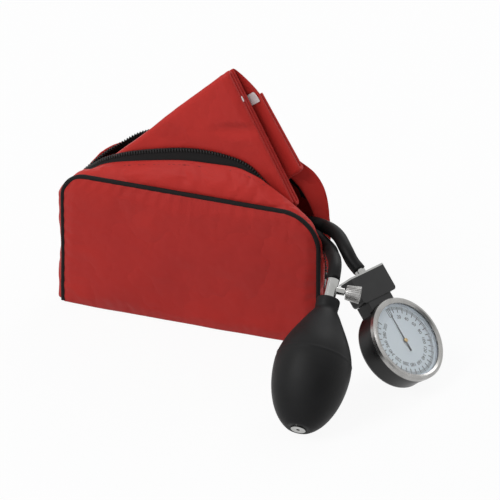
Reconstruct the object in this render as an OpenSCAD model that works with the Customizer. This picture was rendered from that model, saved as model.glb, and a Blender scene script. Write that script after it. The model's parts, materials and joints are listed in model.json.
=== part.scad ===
// Aneroid sphygmomanometer: zip case with folded cuff, inflation bulb with release valve, and gauge.
// Millimetres. The origin is the centre of the case's base on the floor, +X along the case,
// +Y to the back, +Z up.

/* [Case] */
// Length of the front panel
case_w = 184; // [176:1:200]
// Length of the rear panel, which leans inwards
case_rear_w = 170; // [164:1:178]
// Height of both panels
case_h = 100; // [96:1:106]
// Depth over both panels
case_d = 46; // [46:1:54]
// Thickness of a padded panel
panel_t = 2; // [1.2:0.1:2.6]
// How far a panel's middle swells out of its edge
panel_swell = 4.4; // [1:0.2:6]
// Thickness of the gusset cloth
gusset_t = 1.6; // [0.8:0.1:2]
// Radius of the front panel's top corners
corner_r = 26; // [18:1:32]
// Radius of the rear panel's top corners
rear_corner_r = 20; // [14:1:26]
// Diameter of the piping cord
piping_d = 4; // [2.5:0.1:5]

/* [Zip] */
// Thickness of the zip tape
tape_t = 0.8; // [0.5:0.1:1]
// Diameter of the row of teeth
teeth_d = 2.2; // [1.6:0.1:2.4]
// Travel of the slider that stays on straight tape
slider_travel = 6; // [2:0.5:6]
// Length of the slider body
slider_l = 9; // [7:0.5:9]
// Width of the slider body
slider_w = 7.6; // [6:0.1:8]
// Length of the pull tab
pull_l = 16; // [10:0.5:20]

/* [Cuff] */
// Width of the cuff, along its folds
cuff_w = 137; // [130:1:140]
// Thickness of one cloth ply
ply_t = 0.9; // [0.5:0.05:0.95]
// Gap between the plies that the bladder lies in
pocket_t = 1.2; // [1.1:0.05:1.3]
// Thickness of the bladder
bladder_t = 1; // [0.6:0.05:1]
// Width of the bladder
bladder_w = 118; // [90:1:124]
// Width of the hook patch
hook_w = 100; // [80:1:110]
// Width of the loop patch
loop_w = 112; // [90:1:120]
// Width of the hem binding
binding_w = 1; // [0.6:0.1:1.5]

/* [Hoses] */
// Outer diameter of both hoses
hose_d = 9; // [8:0.1:9.2]
// Bore of both hoses, which the barbs fill
hose_bore = 4.6; // [3.5:0.1:5]
// Length of a barb
barb_l = 8; // [5:0.5:9]

// How far the bulb's end lies to the right of the case's middle
bulb_right = 121; // [112:0.5:124]
// How far the bulb's end lies in front of the case's middle
bulb_front = 142.8; // [136:0.1:150]
// How far the gauge lies to the right of the case's middle
gauge_right = 164.7; // [158:0.1:172]
// How far the gauge lies in front of the case's middle
gauge_front = 45.6; // [40:0.1:56]

/* [Bulb] */
// Length of the rubber bulb
bulb_l = 95; // [88:1:104]
// Largest diameter of the bulb
bulb_d = 52; // [46:1:54]
// Distance of the widest place from the end valve
bulb_belly = 43; // [38:1:48]
// Wall of the bulb
bulb_wall = 2.6; // [2:0.1:3.4]
// Outer diameter of the bulb's neck
neck_d = 16; // [15:0.5:18]
// Diameter of the end valve's flange
end_valve_d = 10; // [9:0.5:13]
// Diameter of the end valve's stem in the bulb
end_stem_d = 8; // [7:0.1:8.4]

/* [Release valve] */
// Diameter of the chrome barrel
barrel_d = 8.4; // [7:0.1:9]
// Length of the barrel between bulb and hose
barrel_l = 14.3; // [12:0.1:18]
// Diameter of the spigot in the bulb's neck
spigot_d = 9; // [8:0.1:10]
// Bore of the air way
airway_d = 2.4; // [1.8:0.1:2.8]
// Diameter of the valve needle
needle_d = 1.7; // [1.4:0.1:2]
// Diameter of the knob's threaded stem
stem_d = 3; // [2.6:0.1:3.2]
// Diameter of the knob at its inner end
knob_d1 = 10; // [8:0.1:12]
// Diameter of the knob at its outer end
knob_d2 = 11.7; // [9:0.1:13]
// Length of the knob's head
knob_l = 9.8; // [8:0.1:12]
// Number of ribs on the knob
knob_ribs = 24; // [12:1:32]

/* [Gauge] */
// Outer diameter of the bezel
bezel_d = 59.6; // [56:0.2:64]
// Radial width of the bezel's face
bezel_face = 3.8; // [2.6:0.1:4.6]
// Depth of the bezel's skirt from its face
bezel_depth = 4; // [3.6:0.1:7]
// Depth of the gauge from the bezel's face to its back
gauge_h = 20; // [20:0.5:24]
// Wall of the housing
housing_wall = 1.6; // [1.2:0.1:2]
// Thickness of the crystal
crystal_t = 1.2; // [0.8:0.1:1.6]
// Thickness of the dial
dial_t = 0.6; // [0.4:0.1:0.8]
// Length of the pointer from its hub to its tip
pointer_l = 20.2; // [16:0.1:22]
// Length of the pointer's tail
pointer_tail = 8; // [5:0.5:10]
// Width of the neck between housing and block
collar_w = 24; // [18:0.5:26]
// Depth of that neck
collar_t = 12; // [8:0.5:13]
// Width of the neck block
block_w = 35; // [28:0.5:38]
// Height of the neck block
block_h = 18.5; // [14:0.5:22]
// Depth of the neck block
block_t = 11; // [8:0.5:13]
// Thickness of the chrome clip
clip_t = 1.2; // [0.8:0.1:1.6]

/* [Movement] */
// Teeth on a whole circle of the sector gear
sector_teeth = 126; // [112:1:140]
// Teeth on the pointer's pinion
pinion_teeth = 14; // [12:1:16]
// Gear module
gear_module = 0.2; // [0.18:0.01:0.21]
// Diameter of the capsule
capsule_d = 30; // [24:0.5:32]
// Rise of the capsule from zero to full scale
capsule_rise = 1.2; // [0.8:0.05:1.2]
// Diameter of the movement plates
plate_d = 43; // [42:0.5:45]
// Diameter of an arbor
arbor_d = 0.9; // [0.7:0.05:1.1]

/* [Hidden] */
$fn = 64;

// Gap that keeps two fixed pieces apart
fit_gap = 0.05;
// Running clearance of a shaft in its hole, on the radius
run_gap = 0.05;
panel_y = case_d / 2 - panel_t;
mouth_end_z = 34 * case_h / 100;
slider_x = 2;
slider_z = mouth_end_z + 1;
base_t = panel_t + 1;

// Width, depth and height of the case that the mouth's points are given for
drawn_case = [184, 46, 100];
// Edge of the front zip flap's cloth, from the left end of the mouth to the right end
front_edge = [[-84.5, -1.5, 91.5], [-76, -8, 98], [-64, -10, 105.5], [-43.5, -11, 111.5],
    [-11, -11, 118], [10.5, -11, 119.5], [28.5, -11, 120], [38.5, -12, 118.5], [48.5, -12.5, 115],
    [63.5, -12.5, 106], [75, -13.5, 98.5], [85, -16, 91.5], [91, -18.5, 81], [94.5, -19, 70],
    [95.2, -18, 61], [92.5, -13, 44.5], [90, -9, 34]];
// Line of the front row of teeth, point for point with the cloth's edge
front_teeth = [[-84, 1, 92], [-76, -3.5, 99.5], [-64.5, -6, 108], [-44, -8, 117], [-12, -8, 125],
    [9.5, -8, 127], [27.5, -8, 125], [38, -8, 121], [47, -8, 113], [60.5, -7.5, 98.5],
    [71.5, -7.5, 91], [79, -8.5, 85], [85.5, -12, 74.5], [89, -12, 64.5], [90, -9, 55.5],
    [89, -6.5, 47], [89, -5.6, 42]];
// Edge of the rear zip flap's cloth
rear_edge = [[-84, 4, 91.5], [-77.5, 15, 99.5], [-66, 18.5, 107], [-46, 20, 113], [-14, 20, 119],
    [12, 20, 121], [34, 20, 121.5], [48, 20.5, 121], [58, 20.5, 118.5], [66, 20.5, 114.5],
    [74, 20.5, 109], [80, 20.5, 100.5], [83.5, 20.2, 89.5], [85.5, 18.5, 76], [87, 16, 62],
    [88, 12, 46], [87.5, 8, 34]];
// Line of the rear row of teeth
rear_teeth = [[-83.5, 2.8, 92.4], [-76, 9, 99.5], [-63.5, 14, 109], [-45, 18, 120], [-14, 18.5, 126.5],
    [12, 18.5, 128.5], [34, 18.5, 128], [47, 18, 123], [53.5, 17.6, 114], [59, 17.4, 106.5],
    [65.5, 17.4, 100], [71, 17.2, 92], [76, 17, 82], [79.5, 15.8, 70], [83, 11.5, 58],
    [86.5, 7, 47], [87.5, 5.6, 42]];

// Width of the cuff that its folds are given for
drawn_cuff_w = 137;
// Corners of the front fold of the cuff, at the top fold line and at the lower one: [left, right]
front_fold_top = [[-77, 90], [21.5, 185]];
front_fold_low = [[-10, 12], [68, 97]];
// The same for the rear fold, which is fanned out
rear_fold_top = [[-76.9, 82.9], [35.5, 166.3]];
rear_fold_low = [[-17.5, 36], [67, 118]];
// Depth of each layer's middle plane, from the front to the rear
layer_y = [-4.2, -0.6, 3, 9.4, 13];
fold_steps = 6;

// Route of the bulb hose, from the bladder to the release valve
bulb_route = [[-68.5, -0.6, 74], [-70.5, -0.8, 65], [-71, -1.5, 54], [-69.5, -3.5, 43], [-64.5, -6, 31.5],
    [-57.5, -8.5, 21.5], [-47.5, -10.5, 14], [-36, -12, 10], [-24, -13, 8], [-12, -13.5, 8],
    [0, -13, 8.5], [11, -12.5, 10.5], [21, -11.5, 14.5], [30.5, -10, 21], [37, -7.5, 30],
    [41.5, -4.5, 41], [46.5, 0.5, 51], [54, 3.5, 60], [63, 4, 67], [73, 2, 71.5], [82, -1.5, 73.5],
    [90.5, -8, 73], [98.5, -16.5, 73.5], [104, -27.5, 76], [108.5, -36.5, 78], [112, -46, 77.5],
    [114, -55, 73.5]];
// Route of the gauge hose, from the bladder to the gauge's nipple
gauge_route = [[-60.5, -0.6, 65], [-61.5, -1.5, 55], [-60, -3, 46], [-56, -5.5, 36], [-49, -8.5, 27.5],
    [-39, -11, 21.5], [-28, -13, 18.5], [-17, -13.5, 18], [-6, -13.5, 18.5], [4.5, -12, 19.5],
    [14.5, -9.5, 22], [23.5, -5, 26], [31.5, 0, 32], [38.5, 4.5, 40.5], [43.5, 9.5, 50],
    [50, 12.5, 60], [58.5, 13.5, 68], [68, 12, 73.5], [78.5, 9.5, 76.5], [87.5, 5.5, 77.5],
    [95, -2, 80], [103, -10.5, 80.5], [111, -20, 77.5], [117, -25, 72.5], [123, -28, 68.5]];

// How the bulb's axis leans, and how the bulb is turned about it
bulb_lean = [-53.5, 0, 4.5];
bulb_spin = 10;
bulb_axis = turned([0, 0, 1], bulb_lean);
// How the gauge is turned, and its directions to the neck and out of its face
gauge_turn = [46.8, 5.5, 71.3];
neck_axis = turned([0, 1, 0], gauge_turn);
gauge_axis = turned([0, 0, 1], gauge_turn);

// A direction turned about X, then Y, then Z
function turn_x(v, a) = [v[0], v[1] * cos(a) - v[2] * sin(a), v[1] * sin(a) + v[2] * cos(a)];
function turn_y(v, a) = [v[0] * cos(a) + v[2] * sin(a), v[1], v[2] * cos(a) - v[0] * sin(a)];
function turn_z(v, a) = [v[0] * cos(a) - v[1] * sin(a), v[0] * sin(a) + v[1] * cos(a), v[2]];
function turned(v, a) = turn_z(turn_y(turn_x(v, a[0]), a[1]), a[2]);

bulb_r = bulb_d / 2;
bulb_neck_r = neck_d / 2;
valve_s = bulb_l + barrel_l * 0.52;
spigot_l = 11;
seat_l = 2.5;
disc_t = 0.6;
disc_travel = 0.8;
chamber_l = seat_l + disc_t + disc_travel + 2 * fit_gap;
knob_x = 10.2;
boss_x = 9.2;
stem_x = 6.9;
port_x = 3.3;
knob_travel = 1.5;

bezel_r = bezel_d / 2;
rim_r = bezel_r - 1.3 - fit_gap;
crystal_r = rim_r - 0.2;
lip_t = 1.6;
gasket_t = 0.35;
rim_z = -lip_t - crystal_t - gasket_t;
dial_z = rim_z - 2;
dial_seat_r = rim_r - 3;
dial_bore_r = rim_r - 1.5;
floor_z = housing_wall - gauge_h;
seam_z = bezel_depth + 4.5;
block_y = 34;
block_front = -3.7;
collar_front = block_front - 1.6;
nipple_z = -9.2;
nipple_flange = 2.3;
hose_y = block_y + block_h + clip_t + nipple_flange;
port_collar = 1.6;
port_reach = 12;
top_plate_z = dial_z - 1.9;
plate_t = 0.8;
base_plate_z = top_plate_z - 5.8;
post_r = 1.6;
post_at = plate_d / 2 - 2.5;
capsule_r = capsule_d / 2;
capsule_z = floor_z + 1.6;
capsule_half = 1.3;
sector_r = sector_teeth * gear_module / 2;
pinion_r = pinion_teeth * gear_module / 2;
gear_distance = sector_r + pinion_r;
sector_pitch = 360 / sector_teeth;
sector_half = 8;
sector_rest = 6;
stud_z = capsule_z + 2 * capsule_half + fit_gap + 0.9;
rock_y = -7;
sector_at = [sqrt(gear_distance * gear_distance - rock_y * rock_y), rock_y];
rock_z = base_plate_z + 1.4;
sector_z = top_plate_z - 1.9;

function unit(v) = v / norm(v);
function lerp(a, b, t) = a + (b - a) * t;
function clamp(v, lo, hi) = max(lo, min(hi, v));
function flat(p, y) = [p[0], y, p[1]];
function mean(pair) = (pair[0] + pair[1]) / 2;

// Nearest point of a panel's outline, round top corners included, to a point of the mouth
function outline_point(p, w, r, y) =
    let (c = [clamp(p[0], r - w / 2, w / 2 - r), min(p[2], case_h - r)])
    let (d = p[2] < case_h - r ? [sign(p[0]), 0] : [p[0], p[2]] - c)
    flat((p[2] < case_h - r ? [sign(p[0]) * (w / 2 - r), p[2]] : c) + unit(d) * r, y);

// Left or right side of a panel's outline up to where the mouth ends
function side_points(side, w, r, y, top) =
    concat([for (k = [0:3]) [side * w / 2, y, base_t + (min(top, case_h - r) - base_t) * k / 3]],
        top > case_h - r ? [for (k = [1:5]) let (a = asin((top - case_h + r) / r) * k / 5)
            [side * (w / 2 - r + r * cos(a)), y, case_h - r + r * sin(a)]] : []);

// Points between the given ones, on a smooth curve through them
function smooth(p, n) = [for (i = [0:len(p) - 2]) for (k = [0:n - 1])
    let (a = p[max(i - 1, 0)], b = p[i], c = p[i + 1], d = p[min(i + 2, len(p) - 1)], t = k / n)
    0.5 * (2 * b + (c - a) * t + (2 * a - 5 * b + 4 * c - d) * t * t
        + (3 * b - a - 3 * c + d) * t * t * t)];
function curve(p, n) = concat(smooth(p, n), [p[len(p) - 1]]);

// Directions along a row of points
function along(p, i) = unit(p[min(i + 1, len(p) - 1)] - p[max(i - 1, 0)]);

// Normal of the surface between two rows of points
function band_normal(a, b, i) = unit(cross(along(a, i), b[i] - a[i]));

// Closed tube or strip through rings of points
module skin(rings) {
    m = len(rings);
    k = len(rings[0]);
    faces = concat(
        [for (i = [0:m - 2]) for (j = [0:k - 1]) [i * k + j, (i + 1) * k + j, i * k + (j + 1) % k]],
        [for (i = [0:m - 2]) for (j = [0:k - 1])
            [i * k + (j + 1) % k, (i + 1) * k + j, (i + 1) * k + (j + 1) % k]],
        [for (j = [1:k - 2]) [0, j, j + 1]],
        [for (j = [1:k - 2]) [(m - 1) * k, (m - 1) * k + j + 1, (m - 1) * k + j]]);
    polyhedron(points = [for (r = rings) each r], faces = faces);
}

// Cloth between two rows of points, from depth lo to depth hi along its normal
module band(a, b, lo, hi) {
    skin([for (i = [0:len(a) - 1]) let (n = band_normal(a, b, i))
        [a[i] + n * lo, a[i] + n * hi, b[i] + n * hi, b[i] + n * lo]]);
}

// Round cord along a row of points, with ends square to the given directions
module cord(p, r, sides, first, last) {
    m = len(p);
    skin([for (i = [0:m - 1])
        let (t = i == 0 ? unit(first) : i == m - 1 ? unit(last) : along(p, i))
        let (u = unit(cross(t, abs(t[1]) > 0.9 ? [1, 0, 0] : [0, 1, 0])), v = cross(t, u))
        [for (j = [0:sides - 1]) p[i] + r * (cos(360 * j / sides) * v + sin(360 * j / sides) * u)]]);
}

// One side of the mouth: its cloth edge and its teeth on smooth curves
mouth_steps = 2;
function on_case(p) = [for (q = p) [q[0] * case_w / drawn_case[0], q[1] * case_d / drawn_case[1],
    q[2] * case_h / drawn_case[2]]];
front_edge_c = curve(on_case(front_edge), mouth_steps);
front_teeth_c = curve(on_case(front_teeth), mouth_steps);
rear_edge_c = curve(on_case(rear_edge), mouth_steps);
rear_teeth_c = curve(on_case(rear_teeth), mouth_steps);
front_line_c = [for (p = front_edge_c) outline_point(p, case_w, corner_r, -panel_y)];
rear_line_c = [for (p = rear_edge_c) outline_point(p, case_rear_w, rear_corner_r, panel_y)];

// Ring on a panel's swell: inset from its outline by the given amount, at the given depth
function swell_ring(w, h, r, inset, depth) = let (q = max(r - inset, h / 25), x = w / 2 - inset,
    top = h - inset) concat([[-x, inset * 0.7, depth], [x, inset * 0.7, depth]],
    [for (i = [0:4]) [x - q + q * cos(22.5 * i), top - q + q * sin(22.5 * i), depth]],
    [for (i = [0:4]) [q - x - q * sin(22.5 * i), top - q + q * cos(22.5 * i), depth]]);

// Padded panel: a flat edge and a middle that swells out of it
module panel(w, h, r) {
    rotate([90, 0, 0]) {
        linear_extrude(panel_t) union() {
            translate([-w / 2, 0]) square([w, h - r]);
            translate([r - w / 2, 0]) square([w - 2 * r, h]);
            for (s = [-1, 1]) translate([s * (w / 2 - r), h - r]) circle(r);
        }
        skin([swell_ring(w, h, r, h * 0.02, panel_t / 2), swell_ring(w, h, r, h * 0.03, panel_t),
            swell_ring(w, h, r, h * 0.12, panel_t + panel_swell * 0.6),
            swell_ring(w, h, r, h * 0.3, panel_t + panel_swell)]);
    }
}

// Piping along a panel's sides and top, on the panel's outer edge
module piping(w, h, r, y) {
    pr = piping_d / 2;
    for (s = [-1, 1]) {
        translate([s * w / 2, y, pr]) cylinder(r = pr, h = h - r - pr, $fn = 24);
        translate([s * (w / 2 - r), y, h - r]) rotate([90, 0, 0]) rotate([0, 0, s > 0 ? 0 : 90])
            rotate_extrude(angle = 90) translate([r, 0]) circle(pr, $fn = 24);
    }
    translate([r - w / 2, y, h]) rotate([0, 90, 0]) cylinder(r = pr, h = w - 2 * r, $fn = 24);
}

module case_front_panel() {
    color("firebrick") translate([0, -panel_y, 0])
        panel(case_w - piping_d, case_h - piping_d / 2, corner_r - piping_d / 2);
}

module case_rear_panel() {
    color("firebrick") rotate([0, 0, 180]) translate([0, -panel_y, 0])
        panel(case_rear_w - piping_d, case_h - piping_d / 2, rear_corner_r - piping_d / 2);
}

module case_front_piping() {
    color("dimgray") piping(case_w, case_h, corner_r, -panel_y - piping_d / 2);
}

module case_rear_piping() {
    color("dimgray") piping(case_rear_w, case_h, rear_corner_r, panel_y + piping_d / 2);
}

module case_base_panel() {
    color("firebrick") linear_extrude(base_t)
        polygon([[-case_w / 2, -panel_y], [case_w / 2, -panel_y], [case_rear_w / 2, panel_y],
            [-case_rear_w / 2, panel_y]]);
}

module side_gusset(side, front_top, rear_top) {
    a = side_points(side, case_w, corner_r, -panel_y, front_top);
    b = side_points(side, case_rear_w, rear_corner_r, panel_y, rear_top);
    if (side < 0) band(b, a, 0, gusset_t);
    else band(a, b, 0, gusset_t);
}

module case_left_gusset() {
    color("firebrick") side_gusset(-1, front_line_c[0][2] - gusset_t, rear_line_c[0][2] - gusset_t);
}

module case_right_gusset() {
    color("firebrick") side_gusset(1, mouth_end_z, mouth_end_z);
}

module case_front_flap() {
    color("firebrick") band(front_line_c, front_edge_c, -gusset_t, 0);
}

module case_rear_flap() {
    color("firebrick") band(rear_line_c, rear_edge_c, 0, gusset_t);
}

// Tape from just under the flap's edge to just short of the teeth
module tape(line, edge, teeth, side) {
    inner = [for (i = [0:len(edge) - 1])
        edge[i] + side * band_normal(line, edge, i) * (gusset_t + tape_t / 2 + fit_gap * 2)];
    outer = [for (i = [0:len(edge) - 1]) let (d = teeth[i] - inner[i], a = along(teeth, i))
        teeth[i] - d * (teeth_d / 2 + fit_gap) / norm(d - a * (a * d))];
    band(inner, outer, -tape_t / 2, tape_t / 2);
}

module zip_front_tape() {
    color("dimgray") tape(front_line_c, front_edge_c, front_teeth_c, -1);
}

module zip_rear_tape() {
    color("dimgray") tape(rear_line_c, rear_edge_c, rear_teeth_c, 1);
}

module zip_front_teeth() {
    color("black") cord(front_teeth_c, teeth_d / 2, 8, along(front_teeth_c, 0),
        along(front_teeth_c, len(front_teeth_c) - 1));
}

module zip_rear_teeth() {
    color("black") cord(rear_teeth_c, teeth_d / 2, 8, along(rear_teeth_c, 0),
        along(rear_teeth_c, len(rear_teeth_c) - 1));
}

// Outer surface of the right gusset, in the middle of its depth
module at_gusset() {
    translate([(case_w + case_rear_w) / 4, 0, 0])
        rotate([0, 0, atan((case_w - case_rear_w) / 4 / panel_y)]) children();
}

// Metal stop on the gusset below the closed end of the zip
module zip_stops() {
    color("silver") at_gusset() translate([0, -3, mouth_end_z - 3]) cube([1.6, 6, 3]);
}

// Slider: two plates joined by a wedge, with a bridge over the outer plate for the pull
module zip_slider() {
    color("silver") at_gusset() translate([slider_x, 0, slider_z]) {
        for (x = [-1.6, 1.6]) translate([x - 0.5, -slider_w / 2, 0]) cube([1, slider_w, slider_l]);
        translate([-1.2, -1, slider_l - 3]) cube([2.4, 2, 3]);
        for (z = [1.2, slider_l - 2.4]) translate([2, -0.7, z]) cube([2, 1.4, 1.2]);
        translate([3.6, -0.7, 1.2]) cube([1, 1.4, slider_l - 2.4]);
    }
}

// Pull tab that hangs from the slider's bridge
module zip_pull() {
    color("silver") at_gusset() translate([slider_x + 2.9, 0, slider_z + 4]) {
        rotate([90, 0, 0]) cylinder(r = 0.5, h = 5, center = true, $fn = 24);
        difference() {
            translate([-0.35, 0, 0]) rotate([0, 90, 0]) linear_extrude(0.7) union() {
                translate([0, -2.5]) square([pull_l - 2.5, 5]);
                translate([pull_l - 2.5, 0]) circle(2.5, $fn = 32);
            }
            translate([-1, -1, -4]) cube([2, 2, 3.5]);
            translate([0, 0, 2.5 - pull_l]) rotate([0, 90, 0])
                cylinder(r = 1.2, h = 3, center = true, $fn = 32);
        }
    }
}

// The cuff lies against the case's left end, so it moves with that end
left_shift = [(drawn_case[0] - case_w) / 2, 0, 0];

// A cuff layer's middle line: its place, its width vector, which carries the layer's taper,
// and the direction that the outer cloth faces
function edge_vector(pair) = (pair[1] - pair[0]) / drawn_cuff_w;
function fold_top(k) = k < 3 ? front_fold_top : rear_fold_top;
function fold_low(k) = k < 3 ? front_fold_low : rear_fold_low;
function layer_station(k, t) =
    let (pair = [lerp(fold_low(k)[0], fold_top(k)[0], t), lerp(fold_low(k)[1], fold_top(k)[1], t)])
    [flat(mean(pair), layer_y[k]) + left_shift, flat(edge_vector(pair), 0),
        [0, k % 2 == 0 ? -1 : 1, 0]];
function fold_station(k, i) =
    let (top = k % 2 == 0, a = 180 * i / fold_steps, s = (1 - cos(a)) / 2)
    let (from = layer_station(k, top ? 1 : 0), to = layer_station(k + 1, top ? 1 : 0))
    let (out = unit(from[0] - layer_station(k, top ? 0 : 1)[0]))
    let (r = (layer_y[k + 1] - layer_y[k]) / 2)
    [lerp(from[0], to[0], s) + out * r * sin(a), lerp(from[1], to[1], s),
        (top ? 1 : -1) * [out[0] * sin(a), -cos(a), out[2] * sin(a)]];
function layer_run(k, from, to) = k % 2 == 0 ? [layer_station(k, from), layer_station(k, to)]
    : [layer_station(k, 1 - from), layer_station(k, 1 - to)];
function fold_run(k) = [for (i = [1:fold_steps - 1]) fold_station(k, i)];
cuff_path = [for (k = [0:4]) each concat(layer_run(k, 0, 1), k < 4 ? fold_run(k) : [])];
bladder_path = concat(layer_run(0, 0.15, 1), fold_run(0), layer_run(1, 0, 0.85));

// Strip of cloth along a path, from width w_lo to w_hi and from depth n_lo to n_hi
module ribbon(path, w_lo, w_hi, n_lo, n_hi) {
    skin([for (s = path) [s[0] + s[1] * w_lo + s[2] * n_lo, s[0] + s[1] * w_hi + s[2] * n_lo,
        s[0] + s[1] * w_hi + s[2] * n_hi, s[0] + s[1] * w_lo + s[2] * n_hi]]);
}

cloth_w = cuff_w / 2 - binding_w;
ply_in = pocket_t / 2;
ply_out = ply_in + ply_t;

module cuff_outer_cloth() {
    color("firebrick") ribbon(cuff_path, -cloth_w, cloth_w, ply_in, ply_out);
}

module cuff_inner_cloth() {
    color("brown") ribbon(cuff_path, -cloth_w, cloth_w, -ply_out, -ply_in);
}

module cuff_hem_binding() {
    color("firebrick") {
        ribbon(cuff_path, cloth_w, cuff_w / 2, -ply_out, ply_out);
        ribbon(cuff_path, -cuff_w / 2, -cloth_w, -ply_out, ply_out);
    }
}

module cuff_bladder() {
    color("dimgray") ribbon(bladder_path, -bladder_w / 2, bladder_w / 2, -bladder_t / 2, bladder_t / 2);
}

module cuff_hook_patch() {
    color("maroon") ribbon(layer_run(3, 0.45, 0.9), -hook_w / 2, hook_w / 2, -ply_out - 1.2, -ply_out);
}

module cuff_loop_patch() {
    color("maroon") ribbon(layer_run(2, 0.1, 0.9), -loop_w / 2, loop_w / 2, ply_out, ply_out + 0.5);
}

// Care tag sewn in the hem between the two front layers
module cuff_care_tag() {
    color("white") ribbon([layer_station(0, 0.86), layer_station(0, 0.92)], cuff_w / 2,
        cuff_w / 2 + 4, -0.3, 0.3);
}

// Size patch on the rear fold's front face, at the top corner
module cuff_size_patch() {
    color("mistyrose") ribbon(layer_run(3, 0.03, 0.15), cuff_w / 2 - 14.5, cuff_w / 2 - 2.5,
        -ply_out - 0.4, -ply_out);
}

// Ports of the bladder: a flat tube between the plies, a collar at the hem and a barb in each hose
module bladder_port(at, heading, from) {
    dir = unit(heading);
    lean = atan2(dir[2], dir[0]);
    color("dimgray") {
        translate(at) rotate([0, 90 - lean, 0]) {
            cylinder(r = hose_bore / 2, h = barb_l, $fn = 32);
            translate([0, 0, -port_collar]) cylinder(r = hose_d / 2 - 0.6, h = port_collar, $fn = 32);
        }
        translate(at) rotate([0, 90 - lean, 0])
            translate([-3.5, -bladder_t / 2, -from]) cube([7, bladder_t, from - port_collar / 2]);
    }
}

module bladder_ports() {
    bladder_port(bulb_route[0] + hem_shift, bulb_route[1] - bulb_route[0], port_reach);
    bladder_port(gauge_route[0] + hem_shift, gauge_route[1] - gauge_route[0], port_reach);
}

// How far the cuff's left hem lies from where the routes are given for it
hem_shift = left_shift - flat(edge_vector(front_fold_top), 0) * (cuff_w - drawn_cuff_w) / 2;

// A hose's route that starts at the hem, with its last points led to where its fitting begins
function led_to(p, end) = let (m = len(p) - 1)
    [for (i = [0:m]) p[i] + hem_shift * max(0, 1 - i / 12) + (end - p[m]) * max(0, 1 - (m - i) / 5)];

module bulb_hose() {
    color("dimgray") cord(led_to(bulb_route, bulb_end + bulb_axis * (bulb_l + barrel_l)),
        hose_d / 2, 12, bulb_route[1] - bulb_route[0], -bulb_axis);
}

module gauge_hose() {
    color("dimgray") cord(led_to(gauge_route, gauge_at + neck_axis * hose_y + gauge_axis * nipple_z),
        hose_d / 2, 12, gauge_route[1] - gauge_route[0], -neck_axis);
}

module at_bulb() {
    translate(bulb_end) rotate(bulb_lean) rotate([0, 0, bulb_spin]) children();
}

// Radius of the bulb at distance s from its end: an egg below the belly, a swept neck above it
egg_half = bulb_belly + 2.5;
neck_s = bulb_l - 7;
function bulb_radius(s) = s <= bulb_belly ? bulb_r * sqrt(1 - pow((bulb_belly - s) / egg_half, 2))
    : s >= neck_s ? bulb_neck_r
    : bulb_neck_r + (bulb_r - bulb_neck_r)
        * pow(0.5 + 0.5 * cos(180 * (s - bulb_belly) / (neck_s - bulb_belly)), 0.6);
bulb_s = concat([for (k = [0:8]) bulb_belly * k / 8],
    [for (k = [1:12]) bulb_belly + (neck_s - bulb_belly) * k / 12]);

// The bulb and the gauge rest on the floor
bulb_low = min([for (s = bulb_s) s * bulb_axis[2] - bulb_radius(s) * norm([bulb_axis[0], bulb_axis[1]])]);
bulb_end = [bulb_right, -bulb_front, -bulb_low];
gauge_at = [gauge_right, -gauge_front,
    gauge_h * gauge_axis[2] + (rim_r - 0.7) * norm([gauge_axis[0], gauge_axis[1]])];

module bulb() {
    inner_r = spigot_d / 2;
    stem_r = end_stem_d / 2;
    color("dimgray") at_bulb() rotate_extrude() polygon(concat(
        [[stem_r, 0]],
        [for (s = bulb_s) [bulb_radius(s), s]],
        [[bulb_neck_r, bulb_l - 0.8], [bulb_neck_r - 0.8, bulb_l], [inner_r, bulb_l]],
        [for (k = [len(bulb_s) - 1:-1:1]) let (s = bulb_s[k])
            if (s > bulb_wall && bulb_radius(s) - bulb_wall > inner_r) [bulb_radius(s) - bulb_wall, s]],
        [[stem_r, bulb_wall]]));
}

// Intake valve in the bulb's end: flange, stem with a chamber, and a hole for air
module end_valve_body() {
    color("silver") at_bulb() difference() {
        union() {
            translate([0, 0, -0.8]) cylinder(r = end_valve_d / 2, h = 0.8);
            cylinder(r = end_stem_d / 2, h = 9);
        }
        translate([0, 0, -2]) cylinder(r = 1.2, h = 12, $fn = 32);
        translate([0, 0, 2]) cylinder(r = end_stem_d / 2 - 1, h = 8);
    }
}

module end_valve_disc() {
    color("black") at_bulb() translate([0, 0, 2 + fit_gap]) cylinder(r = end_stem_d / 2 - 1.3, h = disc_t);
}

module end_valve_retainer() {
    color("silver") at_bulb() translate([0, 0, 2 + disc_t + disc_travel + 3 * fit_gap]) difference() {
        cylinder(r = end_stem_d / 2 - 1, h = 1.4);
        translate([0, 0, -1]) cylinder(r = 1.6, h = 4, $fn = 32);
        translate([-0.4, -2.8, -1]) cube([0.8, 5.6, 1.5]);
    }
}

// Valve body: spigot in the bulb, barrel, hose barb, and a boss across for the needle
module release_valve_body() {
    bottom = bulb_l - spigot_l;
    top = bulb_l + barrel_l;
    color("silver") at_bulb() difference() {
        union() {
            translate([0, 0, bottom]) cylinder(r = spigot_d / 2, h = spigot_l);
            translate([0, 0, bulb_l]) cylinder(r = barrel_d / 2, h = barrel_l);
            translate([0, 0, top]) cylinder(r = hose_bore / 2, h = barb_l);
            translate([0, 0, valve_s]) rotate([0, 90, 0]) cylinder(r = 2.6, h = boss_x, $fn = 48);
        }
        translate([0, 0, bottom - 1])
            cylinder(r = airway_d / 2, h = spigot_l + barrel_l + barb_l + 2, $fn = 32);
        translate([0, 0, bottom - 1]) cylinder(r = 3, h = 1 + chamber_l);
        translate([-0.5, -2.8, bottom + chamber_l - 1]) cube([1, 5.6, 2]);
        translate([0, 0, valve_s]) rotate([0, 90, 0]) cylinder(r = 0.55, h = 4, $fn = 24);
        translate([port_x, 0, valve_s]) rotate([0, 90, 0])
            cylinder(r = stem_d / 2 + run_gap, h = boss_x, $fn = 48);
        translate([port_x + 2, 0, valve_s]) cylinder(r = 0.5, h = 5, $fn = 24);
    }
}

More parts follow.
